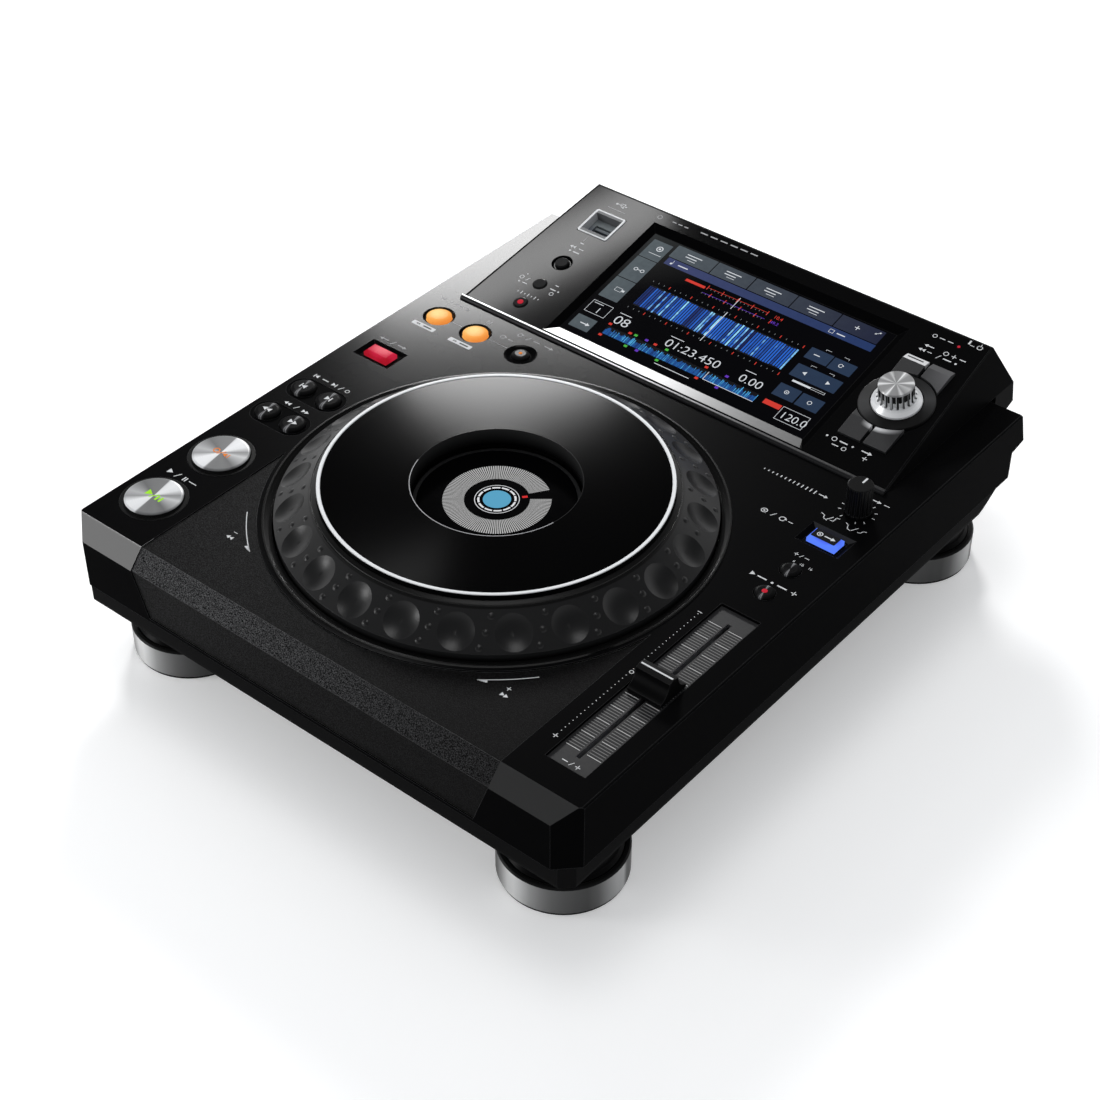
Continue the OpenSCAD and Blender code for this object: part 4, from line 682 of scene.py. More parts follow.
# The collar's light and dark wedges are painted reflection
dress(spunMetal("collarLacquer", (0.055, 0.055, 0.056), 0.3, panelPoint(*selector["place"]),
                collarWedges, 0.0, 0.04, 4.0, panel["tilt"], 0.1), "selector_collar")

# The four keys round the selector: dark satin with a painted highlight, a pale crescent towards the
# collar
arcKeys = {"base": (0.024, 0.024, 0.0255), "sheen": (0.11, 0.11, 0.115), "wearAndGlint": grey(0.12),
           "pale": (0.55, 0.55, 0.56), "crescent": (21.4, 23.4), "crescentEnd": -8.0,
           "rear": 26.95, "rearTone": (0.075, 0.075, 0.078), "rearLeft": (0.62, 0.62, 0.63),
           "slot": (29.0, 30.1), "slotX": (-12.6, -3.4), "slotTone": grey(0.012)}


def arcKeyLook():
    look = Look("arcKeySatin")
    x, s, n = look.split(look.onPanel(*selector["place"]))
    radius, angle, turn = look.polar(x, s)
    grains = look.noise(look.places(), 1.6, 3.0)
    # Painted sheen that grows across the keys away from the screen
    paint = look.blend(x.fade(-2.0, 14.0) * s.fade(2.0, 30.0),
                       look.clouded(grains, arcKeys["base"]), arcKeys["sheen"])
    normal, edgeLean = look.edges(0.3)
    paint = look.blend(edgeLean, paint, arcKeys["wearAndGlint"])
    crescent = (1.0 - radius.fade(*arcKeys["crescent"])) * (s < arcKeys["crescentEnd"])
    ahead = x.fade(-7.0, -1.0) * (1.0 - x.fade(4.0, 14.5))
    paint = look.blend(crescent * ahead, paint, arcKeys["pale"])
    # Painted highlight on the rear ledges, palest on the left; the slot stays dark
    rear = s > arcKeys["rear"]
    paint = look.blend(rear * 0.9, paint, arcKeys["rearTone"])
    paint = look.blend(rear * (x < 0.0), paint, arcKeys["rearLeft"])
    slot = s.between(*arcKeys["slot"]) * x.between(*arcKeys["slotX"])
    look.give(colour=look.blend(slot, paint, arcKeys["slotTone"]), gloss=0.12,
              rough=0.34 + grains * 0.1)
    look.bump(grains, 0.01, 0.4, normal)
    return look


dress(arcKeyLook(), "back_button", "tag_button", "filter_button", "shortcut_button")

# Metal bands of the feet: polished all round; their light and dark streaks are painted reflection
feet = {"x": 118.1, "front": -152.8, "back": 134.5, "hairs": grey(0.1), "rim": grey(0.01),
        "above": grey(0.012)}
footStreaks = [
    (0.0, 0.5), (0.028, 0.56), (0.044, 0.12), (0.061, 0.05), (0.15, 0.3), (0.21, 0.6),
    (0.26, 0.35), (0.31, 0.1), (0.37, 0.055), (0.43, 0.12), (0.48, 0.4), (0.52, 0.5),
    (0.55, 0.3), (0.583, 0.01), (0.625, 0.016), (0.653, 0.09), (0.681, 0.35), (0.708, 0.75),
    (0.731, 0.85), (0.75, 0.7), (0.778, 0.4), (0.806, 0.26), (0.833, 0.17), (0.861, 0.13),
    (0.889, 0.1), (0.917, 0.085), (0.944, 0.14), (0.972, 0.33), (1.0, 0.5)]


def footLook():
    look = Look("footSteel")
    where = look.places()
    x, y, z = look.split(where)
    centreX = look.calc("SIGN", x) * feet["x"]
    centreY = feet["front"] + (y > 0.0) * (feet["back"] - feet["front"])
    radius, angle, turn = look.polar(x - centreX, y - centreY)
    hairs = look.noise(look.squeezed(where, (0.05, 0.05, 3.0)), 2.0, 3.0)
    tone = look.ramp(turn, [(spot, (t, t, t * 0.99)) for spot, t in footStreaks])
    normal, edgeLean = look.edges(0.5)
    tone = look.blend(hairs * 0.1, tone, feet["hairs"])
    # Painted shade along the edges and on the faces that look up
    tone = look.blend(edgeLean * 0.8, tone, feet["rim"])
    above = look.split(look.facing())[2] > 0.4
    look.give(colour=look.blend(above, tone, feet["above"]), metal=0.1, gloss=0.06,
              rough=0.3 + hairs * 0.1)
    look.bump(hairs, 0.006, 0.3, normal)
    return look


dress(footLook(), "foot_bands")

# Polished strip under the panel, dark, with a painted highlight along its top: bright at the left,
# dying away to the right
trim = {"half": 134.0, "tones": [(0.0, (0.8, 0.81, 0.82)), (0.3, (0.7, 0.7, 0.71)),
                                 (0.5, (0.35, 0.35, 0.36)), (0.7, grey(0.1)),
                                 (1.0, (0.03, 0.03, 0.031))],
        "upper": (1.76, 1.84), "below": (0.02, 0.02, 0.021)}


def trimLook():
    look = Look("trimPolish")
    x, y, z = look.split(look.places((0, panel["y"], deck["z"])))
    tone = look.ramp(x.fade(-trim["half"], trim["half"]), trim["tones"])
    hairs = look.noise(look.places(), 0.8)
    look.give(colour=look.blend(z.fade(*trim["upper"]), trim["below"], tone), metal=0.2,
              gloss=0.1, rough=0.25 + hairs * 0.06)
    return look


dress(trimLook(), "display_front_trim")
print("scene: wheel, display, scale, selector and feet dressed")


# Faces that carry prints, as places for flat marks drawn in millimetres
def flatFace(z):
    return Matrix.Translation((0, 0, z * mm)) @ Matrix.Scale(mm, 4)


def panelFace(lift):
    base = Matrix.Translation((0, panel["y"] * mm, deck["z"] * mm))
    base = base @ Matrix.Rotation(panel["tilt"], 4, "X")
    return base @ Matrix.Translation((0, 0, lift * mm)) @ Matrix.Scale(mm, 4)


def clearChoice():
    if bpy.context.object and bpy.context.object.mode != "OBJECT":
        bpy.ops.object.mode_set(mode="OBJECT")
    bpy.ops.object.select_all(action="DESELECT")


def latest():
    return bpy.context.view_layer.objects.active


def settle(piece):
    clearChoice()
    piece.select_set(True)
    bpy.context.view_layer.objects.active = piece
    bpy.ops.object.transform_apply(location=True, rotation=True, scale=True)
    return piece


def editAll(*steps):
    # Runs mesh steps on the whole of the latest piece
    bpy.ops.object.mode_set(mode="EDIT")
    bpy.ops.mesh.select_all(action="SELECT")
    for step in steps:
        step()
    bpy.ops.object.mode_set(mode="OBJECT")


def bar(x, y, wide, high, turn=0.0, soft=0.0):
    # A printed bar, with rounded corners where soft is given
    clearChoice()
    bpy.ops.mesh.primitive_plane_add(size=1, location=(x, y, 0),
                                     rotation=(0, 0, math.radians(turn)))
    piece = latest()
    piece.scale = (wide, high, 1)
    settle(piece)
    if soft:
        editAll(lambda: bpy.ops.mesh.bevel(offset=soft, offset_type="OFFSET", segments=3,
                                           affect="VERTICES"))
    return piece


def box(left, right, low, high, soft=0.35):
    return bar((left + right) / 2, (low + high) / 2, right - left, high - low, 0, soft)


def stroke(points, wide):
    # A thin printed line through a few points
    bars = []
    for (x0, y0), (x1, y1) in zip(points, points[1:]):
        long = math.hypot(x1 - x0, y1 - y0) + wide * 0.6
        turn = math.degrees(math.atan2(y1 - y0, x1 - x0))
        bars.append(bar((x0 + x1) / 2, (y0 + y1) / 2, long, wide, turn))
    return bars


def frameLines(left, right, low, high, wide=0.25):
    return stroke([(left, low), (right, low), (right, high), (left, high), (left, low)], wide)


def dropFaces(piece, test):
    # Deletes the faces that answer to a test
    bpy.ops.object.mode_set(mode="EDIT")
    bpy.ops.mesh.select_mode(type="FACE")
    bpy.ops.mesh.select_all(action="DESELECT")
    bpy.ops.object.mode_set(mode="OBJECT")
    for face in piece.data.polygons:
        face.select = test(face)
    bpy.ops.object.mode_set(mode="EDIT")
    bpy.ops.mesh.delete(type="FACE")
    bpy.ops.object.mode_set(mode="OBJECT")


def ringMark(x, y, inner, outer, start=0.0, end=360.0, steps=96):
    # A flat ring, or the part of it from one angle to another
    def outside(face):
        angle = math.degrees(math.atan2(face.center.y, face.center.x))
        return not any(start <= angle + full <= end for full in (-360, 0, 360))

    clearChoice()
    bpy.ops.mesh.primitive_circle_add(vertices=steps, radius=outer, fill_type="NOTHING",
                                      location=(0, 0, 0))
    piece = latest()
    share = inner / outer
    editAll(bpy.ops.mesh.extrude_edges_move,
            lambda: bpy.ops.transform.resize(value=(share, share, 1)))
    if end - start < 360:
        dropFaces(piece, outside)
    editAll(lambda: bpy.ops.mesh.normals_make_consistent(inside=False))
    if piece.data.polygons[0].normal.z < 0:
        editAll(bpy.ops.mesh.flip_normals)
    piece.location = (x, y, 0)
    return settle(piece)


def dotMark(x, y, radius, corners=20, turn=0.0):
    clearChoice()
    bpy.ops.mesh.primitive_circle_add(vertices=corners, radius=radius, fill_type="NGON",
                                      location=(x, y, 0),
                                      rotation=(0, 0, math.radians(turn)))
    return settle(latest())


def pointer(x, y, size, way=0.0):
    # A filled triangle whose point faces the way given, counted from +X
    return dotMark(x, y, size, 3, way - 90)


def number(text, x, y, high, thin=0.0, wide=1.0):
    # Plain figures; thin slims their strokes, wide stretches them
    clearChoice()
    bpy.ops.object.text_add(location=(x, y, 0))
    piece = latest()
    piece.data.body = text
    piece.data.size = high * 1.38
    piece.data.offset = -thin * high
    piece.scale = (wide, 1, 1)
    bpy.ops.object.convert(target="MESH")
    return settle(latest())


def sign(kind, x, y, size):
    # Small signs that anyone knows: play, pause, skip, loop, plus, minus and arrows
    thin = size * 0.16
    way = -1 if kind in ("return", "previous", "arrowBack") else 1
    if kind == "play":
        return [pointer(x, y, size * 0.55)]
    if kind == "pause":
        return [bar(x + side * size * 0.22, y, size * 0.22, size * 0.9) for side in (-1, 1)]
    if kind in ("ahead", "return"):
        return [pointer(x + way * shift * size, y, size * 0.42, 90 - 90 * way)
                for shift in (-0.32, 0.32)]
    if kind in ("next", "previous"):
        return [pointer(x - way * 0.2 * size, y, size * 0.45, 90 - 90 * way),
                bar(x + way * size * 0.35, y, thin, size * 0.8)]
    if kind in ("arrow", "arrowBack"):
        return [bar(x - way * size * 0.2, y, size, thin),
                pointer(x + way * size * 0.4, y, size * 0.34, 90 - 90 * way)]
    if kind == "loop":
        return [ringMark(x, y, size * 0.36, size * 0.5, 40, 340, 32),
                pointer(x + size * 0.43, y + size * 0.16, size * 0.26, 100)]
    if kind == "ring":
        return [ringMark(x, y, size * 0.36, size * 0.5, 0, 360, 28)]
    if kind == "dot":
        return [dotMark(x, y, size * 0.25, 12)]
    if kind == "slash":
        return [bar(x, y, size * 1.1, thin * 0.8, 62)]
    if kind == "plus":
        return [bar(x, y, size, thin), bar(x, y, thin, size)]
    return [bar(x, y, size, thin)]


def row(y, *signs):
    # Signs on one line, each with its kind, place and size
    return [mark for kind, x, size in signs for mark in sign(kind, x, y, size)]


def joined(name, pieces, face, look, body="base"):
    # Joins marks into one piece, lays it on its face and lets it ride
    clearChoice()
    for piece in pieces:
        piece.select_set(True)
    bpy.context.view_layer.objects.active = pieces[0]
    if len(pieces) > 1:
        bpy.ops.object.join()
    piece = latest()
    piece.name = name
    piece.data.name = name
    piece.data.transform(face)
    piece.data.materials.clear()
    piece.data.materials.append(look.material)
    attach(piece, body)


inkWhite = inkColour("inkWhite", (0.68, 0.69, 0.7))
inkGrey = inkColour("inkGrey", (0.42, 0.42, 0.43))
inkBlack = inkColour("inkBlack", (0.006, 0.006, 0.007))
glowGreen = inkColour("glowGreen", (0.36, 0.8, 0.03), 1.0)
glowOrange = inkColour("glowOrange", (0.8, 0.24, 0.05), 1.0)
glowRed = inkColour("glowRed", (0.55, 0.02, 0.04), 1.0)

# Marks on the keys
keyTops = {"silver": 85.2, "black": 84.9}
silverFace, blackFace = [flatFace(top + printLift) for top in keyTops.values()]
playY, cueY = silverKeys["play"], silverKeys["cue"]
joined("playMark",
       [pointer(leftX - 3.6, playY + 0.3, 2.5), bar(leftX + 0.1, playY, 0.7, 5.2, -38),
        bar(leftX + 2.6, playY - 0.2, 1.15, 3.6), bar(leftX + 5.0, playY - 0.2, 1.15, 3.6)],
       silverFace, glowGreen, "play_key")
joined("cueMark",
       [ringMark(leftX - 3.0, cueY, 1.2, 1.85, 0, 360, 36),
        bar(leftX + 0.2, cueY, 0.6, 4.8, -38), pointer(leftX + 2.9, cueY, 1.7, 180),
        bar(leftX + 5.0, cueY, 0.6, 2.9)],
       silverFace, glowOrange, "cue_key")
for keyName, kind in (("search_back", "return"), ("search_forward", "ahead"),
                      ("track_back", "previous"), ("track_forward", "next")):
    joined(keyName + "Mark", sign(kind, *blackKeys[keyName], 4.2), blackFace, inkWhite,
           keyName + "_key")
print("scene: key marks made")

# Prints on the deck: ticks round the speed knob, and a dotted scale beside the slider
speedX, speedY, sliderY = rightX, 49.3, scalePlate["y"]
deckFace = flatFace(deck["z"] + printLift)
prints = {"ticks": (-186, -158, -120, -64, -36, 0, 28, 60), "tickReach": 8.7,
          "tickSize": (1.5, 0.45), "scaleX": 117.4, "dotPitch": 2.6, "dotsEachWay": 19}
scaleX = prints["scaleX"]
whiteMarks = []
for tickTurn in prints["ticks"]:
    angle = math.radians(tickTurn)
    whiteMarks.append(bar(speedX + prints["tickReach"] * math.cos(angle),
                          speedY + prints["tickReach"] * math.sin(angle),
                          *prints["tickSize"], tickTurn))
for step in range(1, prints["dotsEachWay"] + 1):
    for way in (-1, 1):
        whiteMarks.append(dotMark(scaleX, sliderY + way * prints["dotPitch"] * step, 0.26, 8))
whiteMarks += sign("bar", scaleX, -56.0, 2.4) + sign("plus", scaleX, -157.6, 2.6)
whiteMarks.append(ringMark(scaleX + 0.6, sliderY + 0.4, 0.75, 1.1, 0, 360, 28))
# Speed curves beside the knob
whiteMarks += stroke([(119.1, 38.0), (121.2, 37.4), (121.9, 35.2), (124.2, 34.6)], 0.4)
whiteMarks += sign("slash", 124.6, 36.9, 3.6)
whiteMarks += stroke([(125.6, 35.7), (127.0, 35.9), (127.0, 38.9), (128.6, 39.3)], 0.4)
whiteMarks += stroke([(132.4, 38.9), (134.0, 38.2), (135.0, 35.6), (137.0, 35.1)], 0.4)
whiteMarks += sign("slash", 138.2, 37.2, 3.6)
whiteMarks += stroke([(140.4, 36.1), (141.8, 36.6), (142.3, 38.5), (143.8, 38.8)], 0.4)
# Signs that name the keys: speed, jog mode, tempo and master tempo
for step in range(13):
    whiteMarks.append(bar(78.6 + step * 2.45, 48.9, 0.55, 1.0 + step * 0.15))
whiteMarks += sign("arrow", 112.6, 48.9, 3.6)
whiteMarks += row(22.3, ("ring", 97.2, 3.4), ("dot", 97.2, 2.2), ("slash", 102.4, 3.2),
                  ("loop", 107.6, 3.4), ("bar", 112.2, 2.6))
whiteMarks += row(61.5, ("arrow", 134.4, 4.0), ("bar", 140.4, 3.0))
whiteMarks += row(5.2, ("plus", 127.4, 2.3), ("slash", 130.2, 2.4), ("bar", 133.2, 2.3))
whiteMarks += [number(text, x, -0.6, 1.6) for text, x in (("6", 129.0), ("10", 132.6),
                                                          ("16", 137.4))]
whiteMarks += row(-18.9, ("play", 119.6, 3.0), ("bar", 125.0, 5.0), ("dot", 130.6, 2.8),
                  ("bar", 136.0, 5.0), ("plus", 142.6, 3.0))
whiteMarks += row(-166.5, ("bar", 129.8, 3.0), ("slash", 133.2, 2.6), ("plus", 136.6, 2.6))
# Play and pause, search and track search at the left
whiteMarks += row(-135.9, ("play", -141.8, 3.6), ("slash", -136.4, 3.8),
                  ("pause", -131.4, 3.2)) + [bar(-126.2, -135.9, 5.0, 0.5)]
whiteMarks += row(-59.8, ("return", -137.4, 3.4), ("slash", -131.6, 3.2),
                  ("ahead", -125.6, 3.4))
whiteMarks += row(-33.6, ("previous", -142.8, 3.4), ("bar", -136.6, 4.0),
                  ("next", -130.4, 3.4), ("slash", -125.6, 3.2), ("ring", -121.4, 2.6))
joined("deckMarks", whiteMarks, deckFace, inkWhite)

greyMarks = row(13.4, ("arrowBack", -139.2, 4.0), ("slash", -133.0, 3.4),
                ("arrow", -127.0, 4.0))
greyMarks += row(62.0, ("previous", -141.0, 3.2), ("dot", -135.4, 2.4), ("bar", -129.8, 5.0),
                 ("ring", -124.2, 2.6))
greyMarks += row(60.0, ("next", -107.0, 3.2))
greyMarks += row(54.2, ("loop", -92.6, 3.2), ("bar", -87.4, 3.4))
greyMarks += row(61.2, ("loop", -86.6, 3.2), ("slash", -81.0, 3.2), ("bar", -75.6, 4.0),
                 ("arrow", -67.4, 4.0))
for fromX, toX in ((-122.0, -115.4), (-96.6, -84.2)):  # line that links the loop keys
    greyMarks.append(bar((fromX + toX) / 2, loopY, toX - fromX, 0.28))
joined("deckGreyMarks", greyMarks, deckFace, inkGrey)

tabs = {"y": 35.3, "size": (15.2, 3.3), "return": leftX, "ahead": leftX + deck["loopStep"]}
joined("loopTabs", [bar(tabs[kind], tabs["y"], *tabs["size"], 0, 0.7)
                    for kind in ("return", "ahead")], deckFace, inkWhite)
tabSigns = []
for kind in ("return", "ahead"):
    tabSigns += row(tabs["y"], (kind, tabs[kind] - 3.6, 1.9), ("bar", tabs[kind] + 2.6, 5.6))
joined("loopTabSigns", tabSigns, flatFace(deck["z"] + 2 * printLift), inkBlack)

# Turning arrows on the insert: arcs with slim barbs outside them
arrows = {"radius": 118.1, "wide": 0.42, "back": (220.6, 235.0), "ahead": (306.4, 319.6)}


def jogRing(radius, wide, start, end, steps):
    # A thin arc about the wheel's centre
    return ringMark(jogX, jogY, radius - wide / 2, radius + wide / 2, start, end, steps)


arcMarks = [jogRing(arrows["radius"], arrows["wide"], *arrows[way], 720)
            for way in ("back", "ahead")]
for tip, along in ((arrows["back"][1], -1), (arrows["ahead"][0], 1)):
    for step in range(5):
        angle = math.radians(tip + along * (0.3 + 0.42 * step))
        reach = arrows["radius"] + 0.15 + 0.17 * step
        arcMarks.append(bar(jogX + reach * math.cos(angle), jogY + reach * math.sin(angle),
                            0.34 * (step + 1), 1.0, tip))
arcMarks += sign("bar", -83.7, -148.4, 2.2) + sign("plus", 83.6, -148.0, 2.4)
arcMarks += row(-152.4, ("return", -83.4, 3.2), ("ahead", 84.4, 3.2))
joined("insertMarks", arcMarks, flatFace(deck["z"] - deck["insertSink"] + printLift),
       inkWhite)
print("scene: deck prints made")

# The screen's picture: tiles, title bar, moving wave, overview and readings
glassFace = panelFace(panel["glass"] + printLift)
upperFace = panelFace(panel["glass"] + 2 * printLift)
uiWhite = inkColour("uiWhite", (0.75, 0.78, 0.82), 0.9)
uiRed = inkColour("uiRed", (0.72, 0.045, 0.03), 0.9)
uiGreen = inkColour("uiGreen", (0.08, 0.5, 0.06), 0.9)
uiViolet = inkColour("uiViolet", (0.14, 0.04, 0.55), 0.9)
uiGrey = inkColour("uiGrey", (0.25, 0.27, 0.28), 0.9)


def onScreen(name, pieces, look, face=glassFace):
    joined(name, pieces, face, look)


def tileLook(name, left, right):
    # Screen tiles, paler towards the left as a painted reflection, cloudy like a lit panel
    look = Look(name)
    x, s, n = look.split(look.onPanel(*screenCorner))
    middle = tuple((a + b) / 2 * 0.9 for a, b in zip(left, right))
    tone = look.ramp(x * (1 / 150), [(0.0, left), (0.45, middle), (1.0, right)])
    rows = look.noise(look.places(), 0.35)
    look.give(colour=(0.002, 0.002, 0.003), light=look.blend(rows * 0.4, tone, toned(right, 0.5)),
              strength=1.0, gloss=0.02, rough=0.4 + rows * 0.1)
    return look


slate = tileLook("uiSlate", (0.1, 0.125, 0.135), (0.009, 0.013, 0.04))
tileBlue = tileLook("uiTileBlue", (0.03, 0.05, 0.1), (0.015, 0.034, 0.075))
titleBlue = tileLook("uiTitle", (0.05, 0.06, 0.16), (0.012, 0.035, 0.13))
# Tiles by left, right, low and high edge
tiles = {"column": [(76.5, 91.0), (58.0, 76.0), (40.6, 57.5), (14.6, 24.2)],
         "columnX": (-73.0, -60.4), "topS": (83.8, 93.6),
         "top": [(-58.3, -31.9), (-31.3, -7.3), (-6.7, 19.6), (20.2, 46.9), (47.5, 73.9)],
         "right": [(47.2, 60.8, 57.8, 66.0), (61.5, 75.1, 57.4, 65.8),
                   (47.8, 75.0, 43.8, 53.0), (48.0, 60.9, 28.1, 37.2),
                   (61.9, 75.1, 27.9, 36.9)]}
onScreen("screenTiles", [box(*tiles["columnX"], *edges) for edges in tiles["column"]]
         + [box(*edges, *tiles["topS"]) for edges in tiles["top"]], slate)
onScreen("screenKeyTiles", [box(*edges) for edges in tiles["right"]], tileBlue)
onScreen("screenTitleBar", [box(-57.4, 74.3, 77.9, 83.2, 0.2)], titleBlue)

whiteBits = [number("08", -54.0, 27.7, 6.2, 0.012, 1.15),
             number("01:23.450", -20.2, 28.0, 5.6, 0.012, 1.14),
             number("0.00", 27.6, 27.0, 5.4, 0.012, 1.1),
             number("120.0", 60.2, 16.6, 4.9, 0.012, 1.05),
             number("1", -66.8, 28.8, 4.4, 0.01)]
whiteBits += frameLines(58.9, 75.0, 14.8, 23.9) + frameLines(-72.3, -59.4, 27.6, 36.6)
whiteBits += [pointer(54.6, 48.4, 1.5, 180), pointer(68.4, 48.4, 1.5, 0)]
for place in ((-5.25, 52.4, 0.45, 24.4), (-5.5, 72.1, 0.4, 9.2), (27.8, 18.5, 31.2, 0.35),
              (12.3, 21.4, 0.4, 5.6)):  # playheads and the bars of the overview
    whiteBits.append(bar(*place))
whiteBits += row(85.7, ("ring", -65.6, 4.0), ("dot", -65.6, 3.0)) + [bar(-65.6, 81.0, 8.0, 0.35)]
whiteBits += [ringMark(x, 66.9, 0.85, 1.25, 0, 360, 24) for x in (-67.6, -63.4)]
whiteBits += [bar(-65.5, 66.9, 2.6, 0.4)]
whiteBits += frameLines(-67.8, -63.8, 47.9, 50.5) + [bar(-62.8, 49.2, 1.6, 1.4)]
whiteBits += sign("arrow", -65.3, 19.2, 4.2) + row(62.0, ("loop", 67.2, 2.6), ("bar", 52.6, 3.6))
whiteBits += row(32.7, ("ring", 54.4, 2.6), ("dot", 54.4, 1.6)) + sign("ring", 68.4, 32.5, 2.6)
whiteBits += sign("plus", 59.2, 89.0, 3.0)
for left, right in tiles["top"][:4]:  # lists of lines on the upper tiles
    middle = (left + right) / 2
    whiteBits += [bar(middle, 90.0, 9.6, 0.6), bar(middle - 1.2, 88.0, 7.2, 0.6),
                  bar(middle, 86.2, 5.0, 0.35)]
whiteBits += stroke([(69.4, 90.0), (71.6, 91.8)], 0.3)
whiteBits += [pointer(69.6, 90.2, 0.7, 220), pointer(71.6, 91.8, 0.7, 40)]
whiteBits += [dotMark(-53.6, 79.7, 0.7, 12), bar(-53.0, 81.0, 0.3, 2.6),
              bar(-46.2, 80.4, 6.4, 0.7), bar(54.8, 80.4, 5.0, 0.7)]
whiteBits += frameLines(47.8, 50.4, 79.3, 81.6) + [bar(57.4, 41.2, 10.8, 1.3)]
whiteBits += frameLines(63.0, 71.4, 40.7, 41.9, 0.2)
for left, right, level in ((54.8, 68.6, 68.0), (54.6, 68.3, 54.8)):  # brackets over tiles
    whiteBits += stroke([(left, level - 0.9), (left, level), (left + 3.0, level)], 0.2)
    whiteBits += stroke([(right - 3.0, level), (right, level), (right, level - 0.9)], 0.2)
for left, wide, level in ((-54.0, 7.6, 35.6), (-20.2, 8.4, 35.3), (27.6, 6.6, 35.0),
                          (-71.0, 6.0, 35.2), (-16.0, 22.0, 15.0)):  # lines over readings
    whiteBits.append(bar(left + wide / 2, level, wide, 0.42))
onScreen("screenSigns", whiteBits, uiWhite, upperFace)

# Beat marks over and under the wave: each fourth one is strong
beats = {"levels": (63.8, 41.4), "first": -53.3, "pitch": 3.58, "count": 28, "strong": 4,
         "phase": 3}
redBits = [box(47.8, 58.0, 20.6, 23.9, 0.2), box(-39.2, -26.6, 72.8, 74.6, 0.1),
           number("10.4", 17.6, 73.2, 2.3)]
redBits += stroke([(-25.2, 74.6), (13.2, 75.0)], 0.22)
for step in range(5):  # phase meter: two rows of marks
    redBits += [bar(-25.2 + step * 9.6, 74.6, 0.45, 3.2), bar(-20.6 + step * 9.6, 70.1, 0.45, 3.0)]
paleBits = []
for step in range(beats["count"]):
    x = beats["first"] + beats["pitch"] * step
    for level in beats["levels"]:
        if step % beats["strong"] == beats["phase"]:
            redBits.append(bar(x, level, 0.45, 1.9))
        else:
            paleBits.append(bar(x, level, 0.3, 0.9))
for step in range(17):
    paleBits += [bar(-25.2 + step * 2.4, 74.0, 0.25, 0.9), bar(-25.8 + step * 2.4, 69.7, 0.25, 0.9)]
onScreen("screenRedSigns", redBits, uiRed, upperFace)
onScreen("screenTicks", paleBits, uiGrey, upperFace)


def flagMarks(*places):
    # Cue flags on the overview
    return [box(x - 1.0, x + 1.0, s - 0.75, s + 0.75, 0.2) for x, s in places]


violetBits = stroke([(-25.8, 70.1), (14.3, 70.3)], 0.22) + [number("49.2", 18.0, 69.2, 2.1)]
violetBits += flagMarks((-29.4, 26.2), (-29.4, 17.5), (22.0, 26.3), (22.0, 17.2))
onScreen("screenVioletSigns", violetBits, uiViolet, upperFace)
onScreen("screenGreenSigns", flagMarks((-36.5, 26.2), (-36.5, 17.2), (-16.1, 26.0),
                                       (-16.1, 17.2)), uiGreen, upperFace)
onScreen("screenCueSigns", flagMarks((-53.4, 26.2), (-53.3, 17.2), (-40.1, 26.0),
                                     (-23.6, 26.0), (9.1, 26.3), (9.1, 17.4)),
         uiRed, upperFace)

waves = {
    "screenWave": {"box": (-52.4, 42.6, 43.9, 61.2), "pitch": 1.55, "shift": 7.0,
                   "low": (0.002, 0.008, 0.09), "mid": (0.015, 0.12, 0.58),
                   "high": (0.3, 0.72, 1.0), "steady": 0.78, "mirror": True, "fill": 0.62},
    "screenOverview": {"box": (-53.3, 43.4, 18.6, 24.6), "pitch": 0.5, "shift": 31.0,
                       "low": (0.006, 0.04, 0.2), "mid": (0.01, 0.11, 0.4),
                       "high": (0.1, 0.55, 0.95), "steady": 0.15, "mirror": False,
                       "fill": 0.72},
}


def waveLook(name, wave):
    # Bars of uneven height and brightness, about a middle line or up from a base
    look = Look(name + "Blue")
    left, right, low, high = wave["box"]
    half = (high - low) / 2
    x, s, n = look.split(look.onPanel((left + right) / 2, (low + high) / 2))
    cells = x / wave["pitch"]
    cell = look.calc("FLOOR", cells)
    dice = look.read("TexWhiteNoise", {"W": cell + wave["shift"]}, "Value",
                     noise_dimensions="1D")
    swell = look.read("TexNoise", {"W": cell * 0.2, "Scale": 1.0}, "Fac",
                      noise_dimensions="1D")
    rest = 1 - wave["steady"]
    tall = wave["steady"] + dice * (rest * 0.35) + swell * (rest * 0.9)
    rise = abs(s) if wave["mirror"] else s + half
    limit = tall * (half if wave["mirror"] else 2 * half)
    inside = (rise < limit) * (cells.fract() < wave["fill"])
    streak = look.noise(look.places(), 0.25, 3.0)
    tone = look.ramp(dice * (0.4 + streak * 0.9), [(0.0, wave["low"]), (0.3, wave["mid"]),
                                                   (0.6, wave["mid"]), (0.85, wave["high"])])
    look.give(colour=(0.001, 0.001, 0.002), light=look.blend(inside, (0.0, 0.0, 0.001), tone),
              strength=1.0, gloss=0.02, rough=0.4 + streak * 0.05)
    return look


for waveName, wave in waves.items():
    onScreen(waveName, [box(*wave["box"], 0.0)], waveLook(waveName, wave))
print("scene: screen picture made")

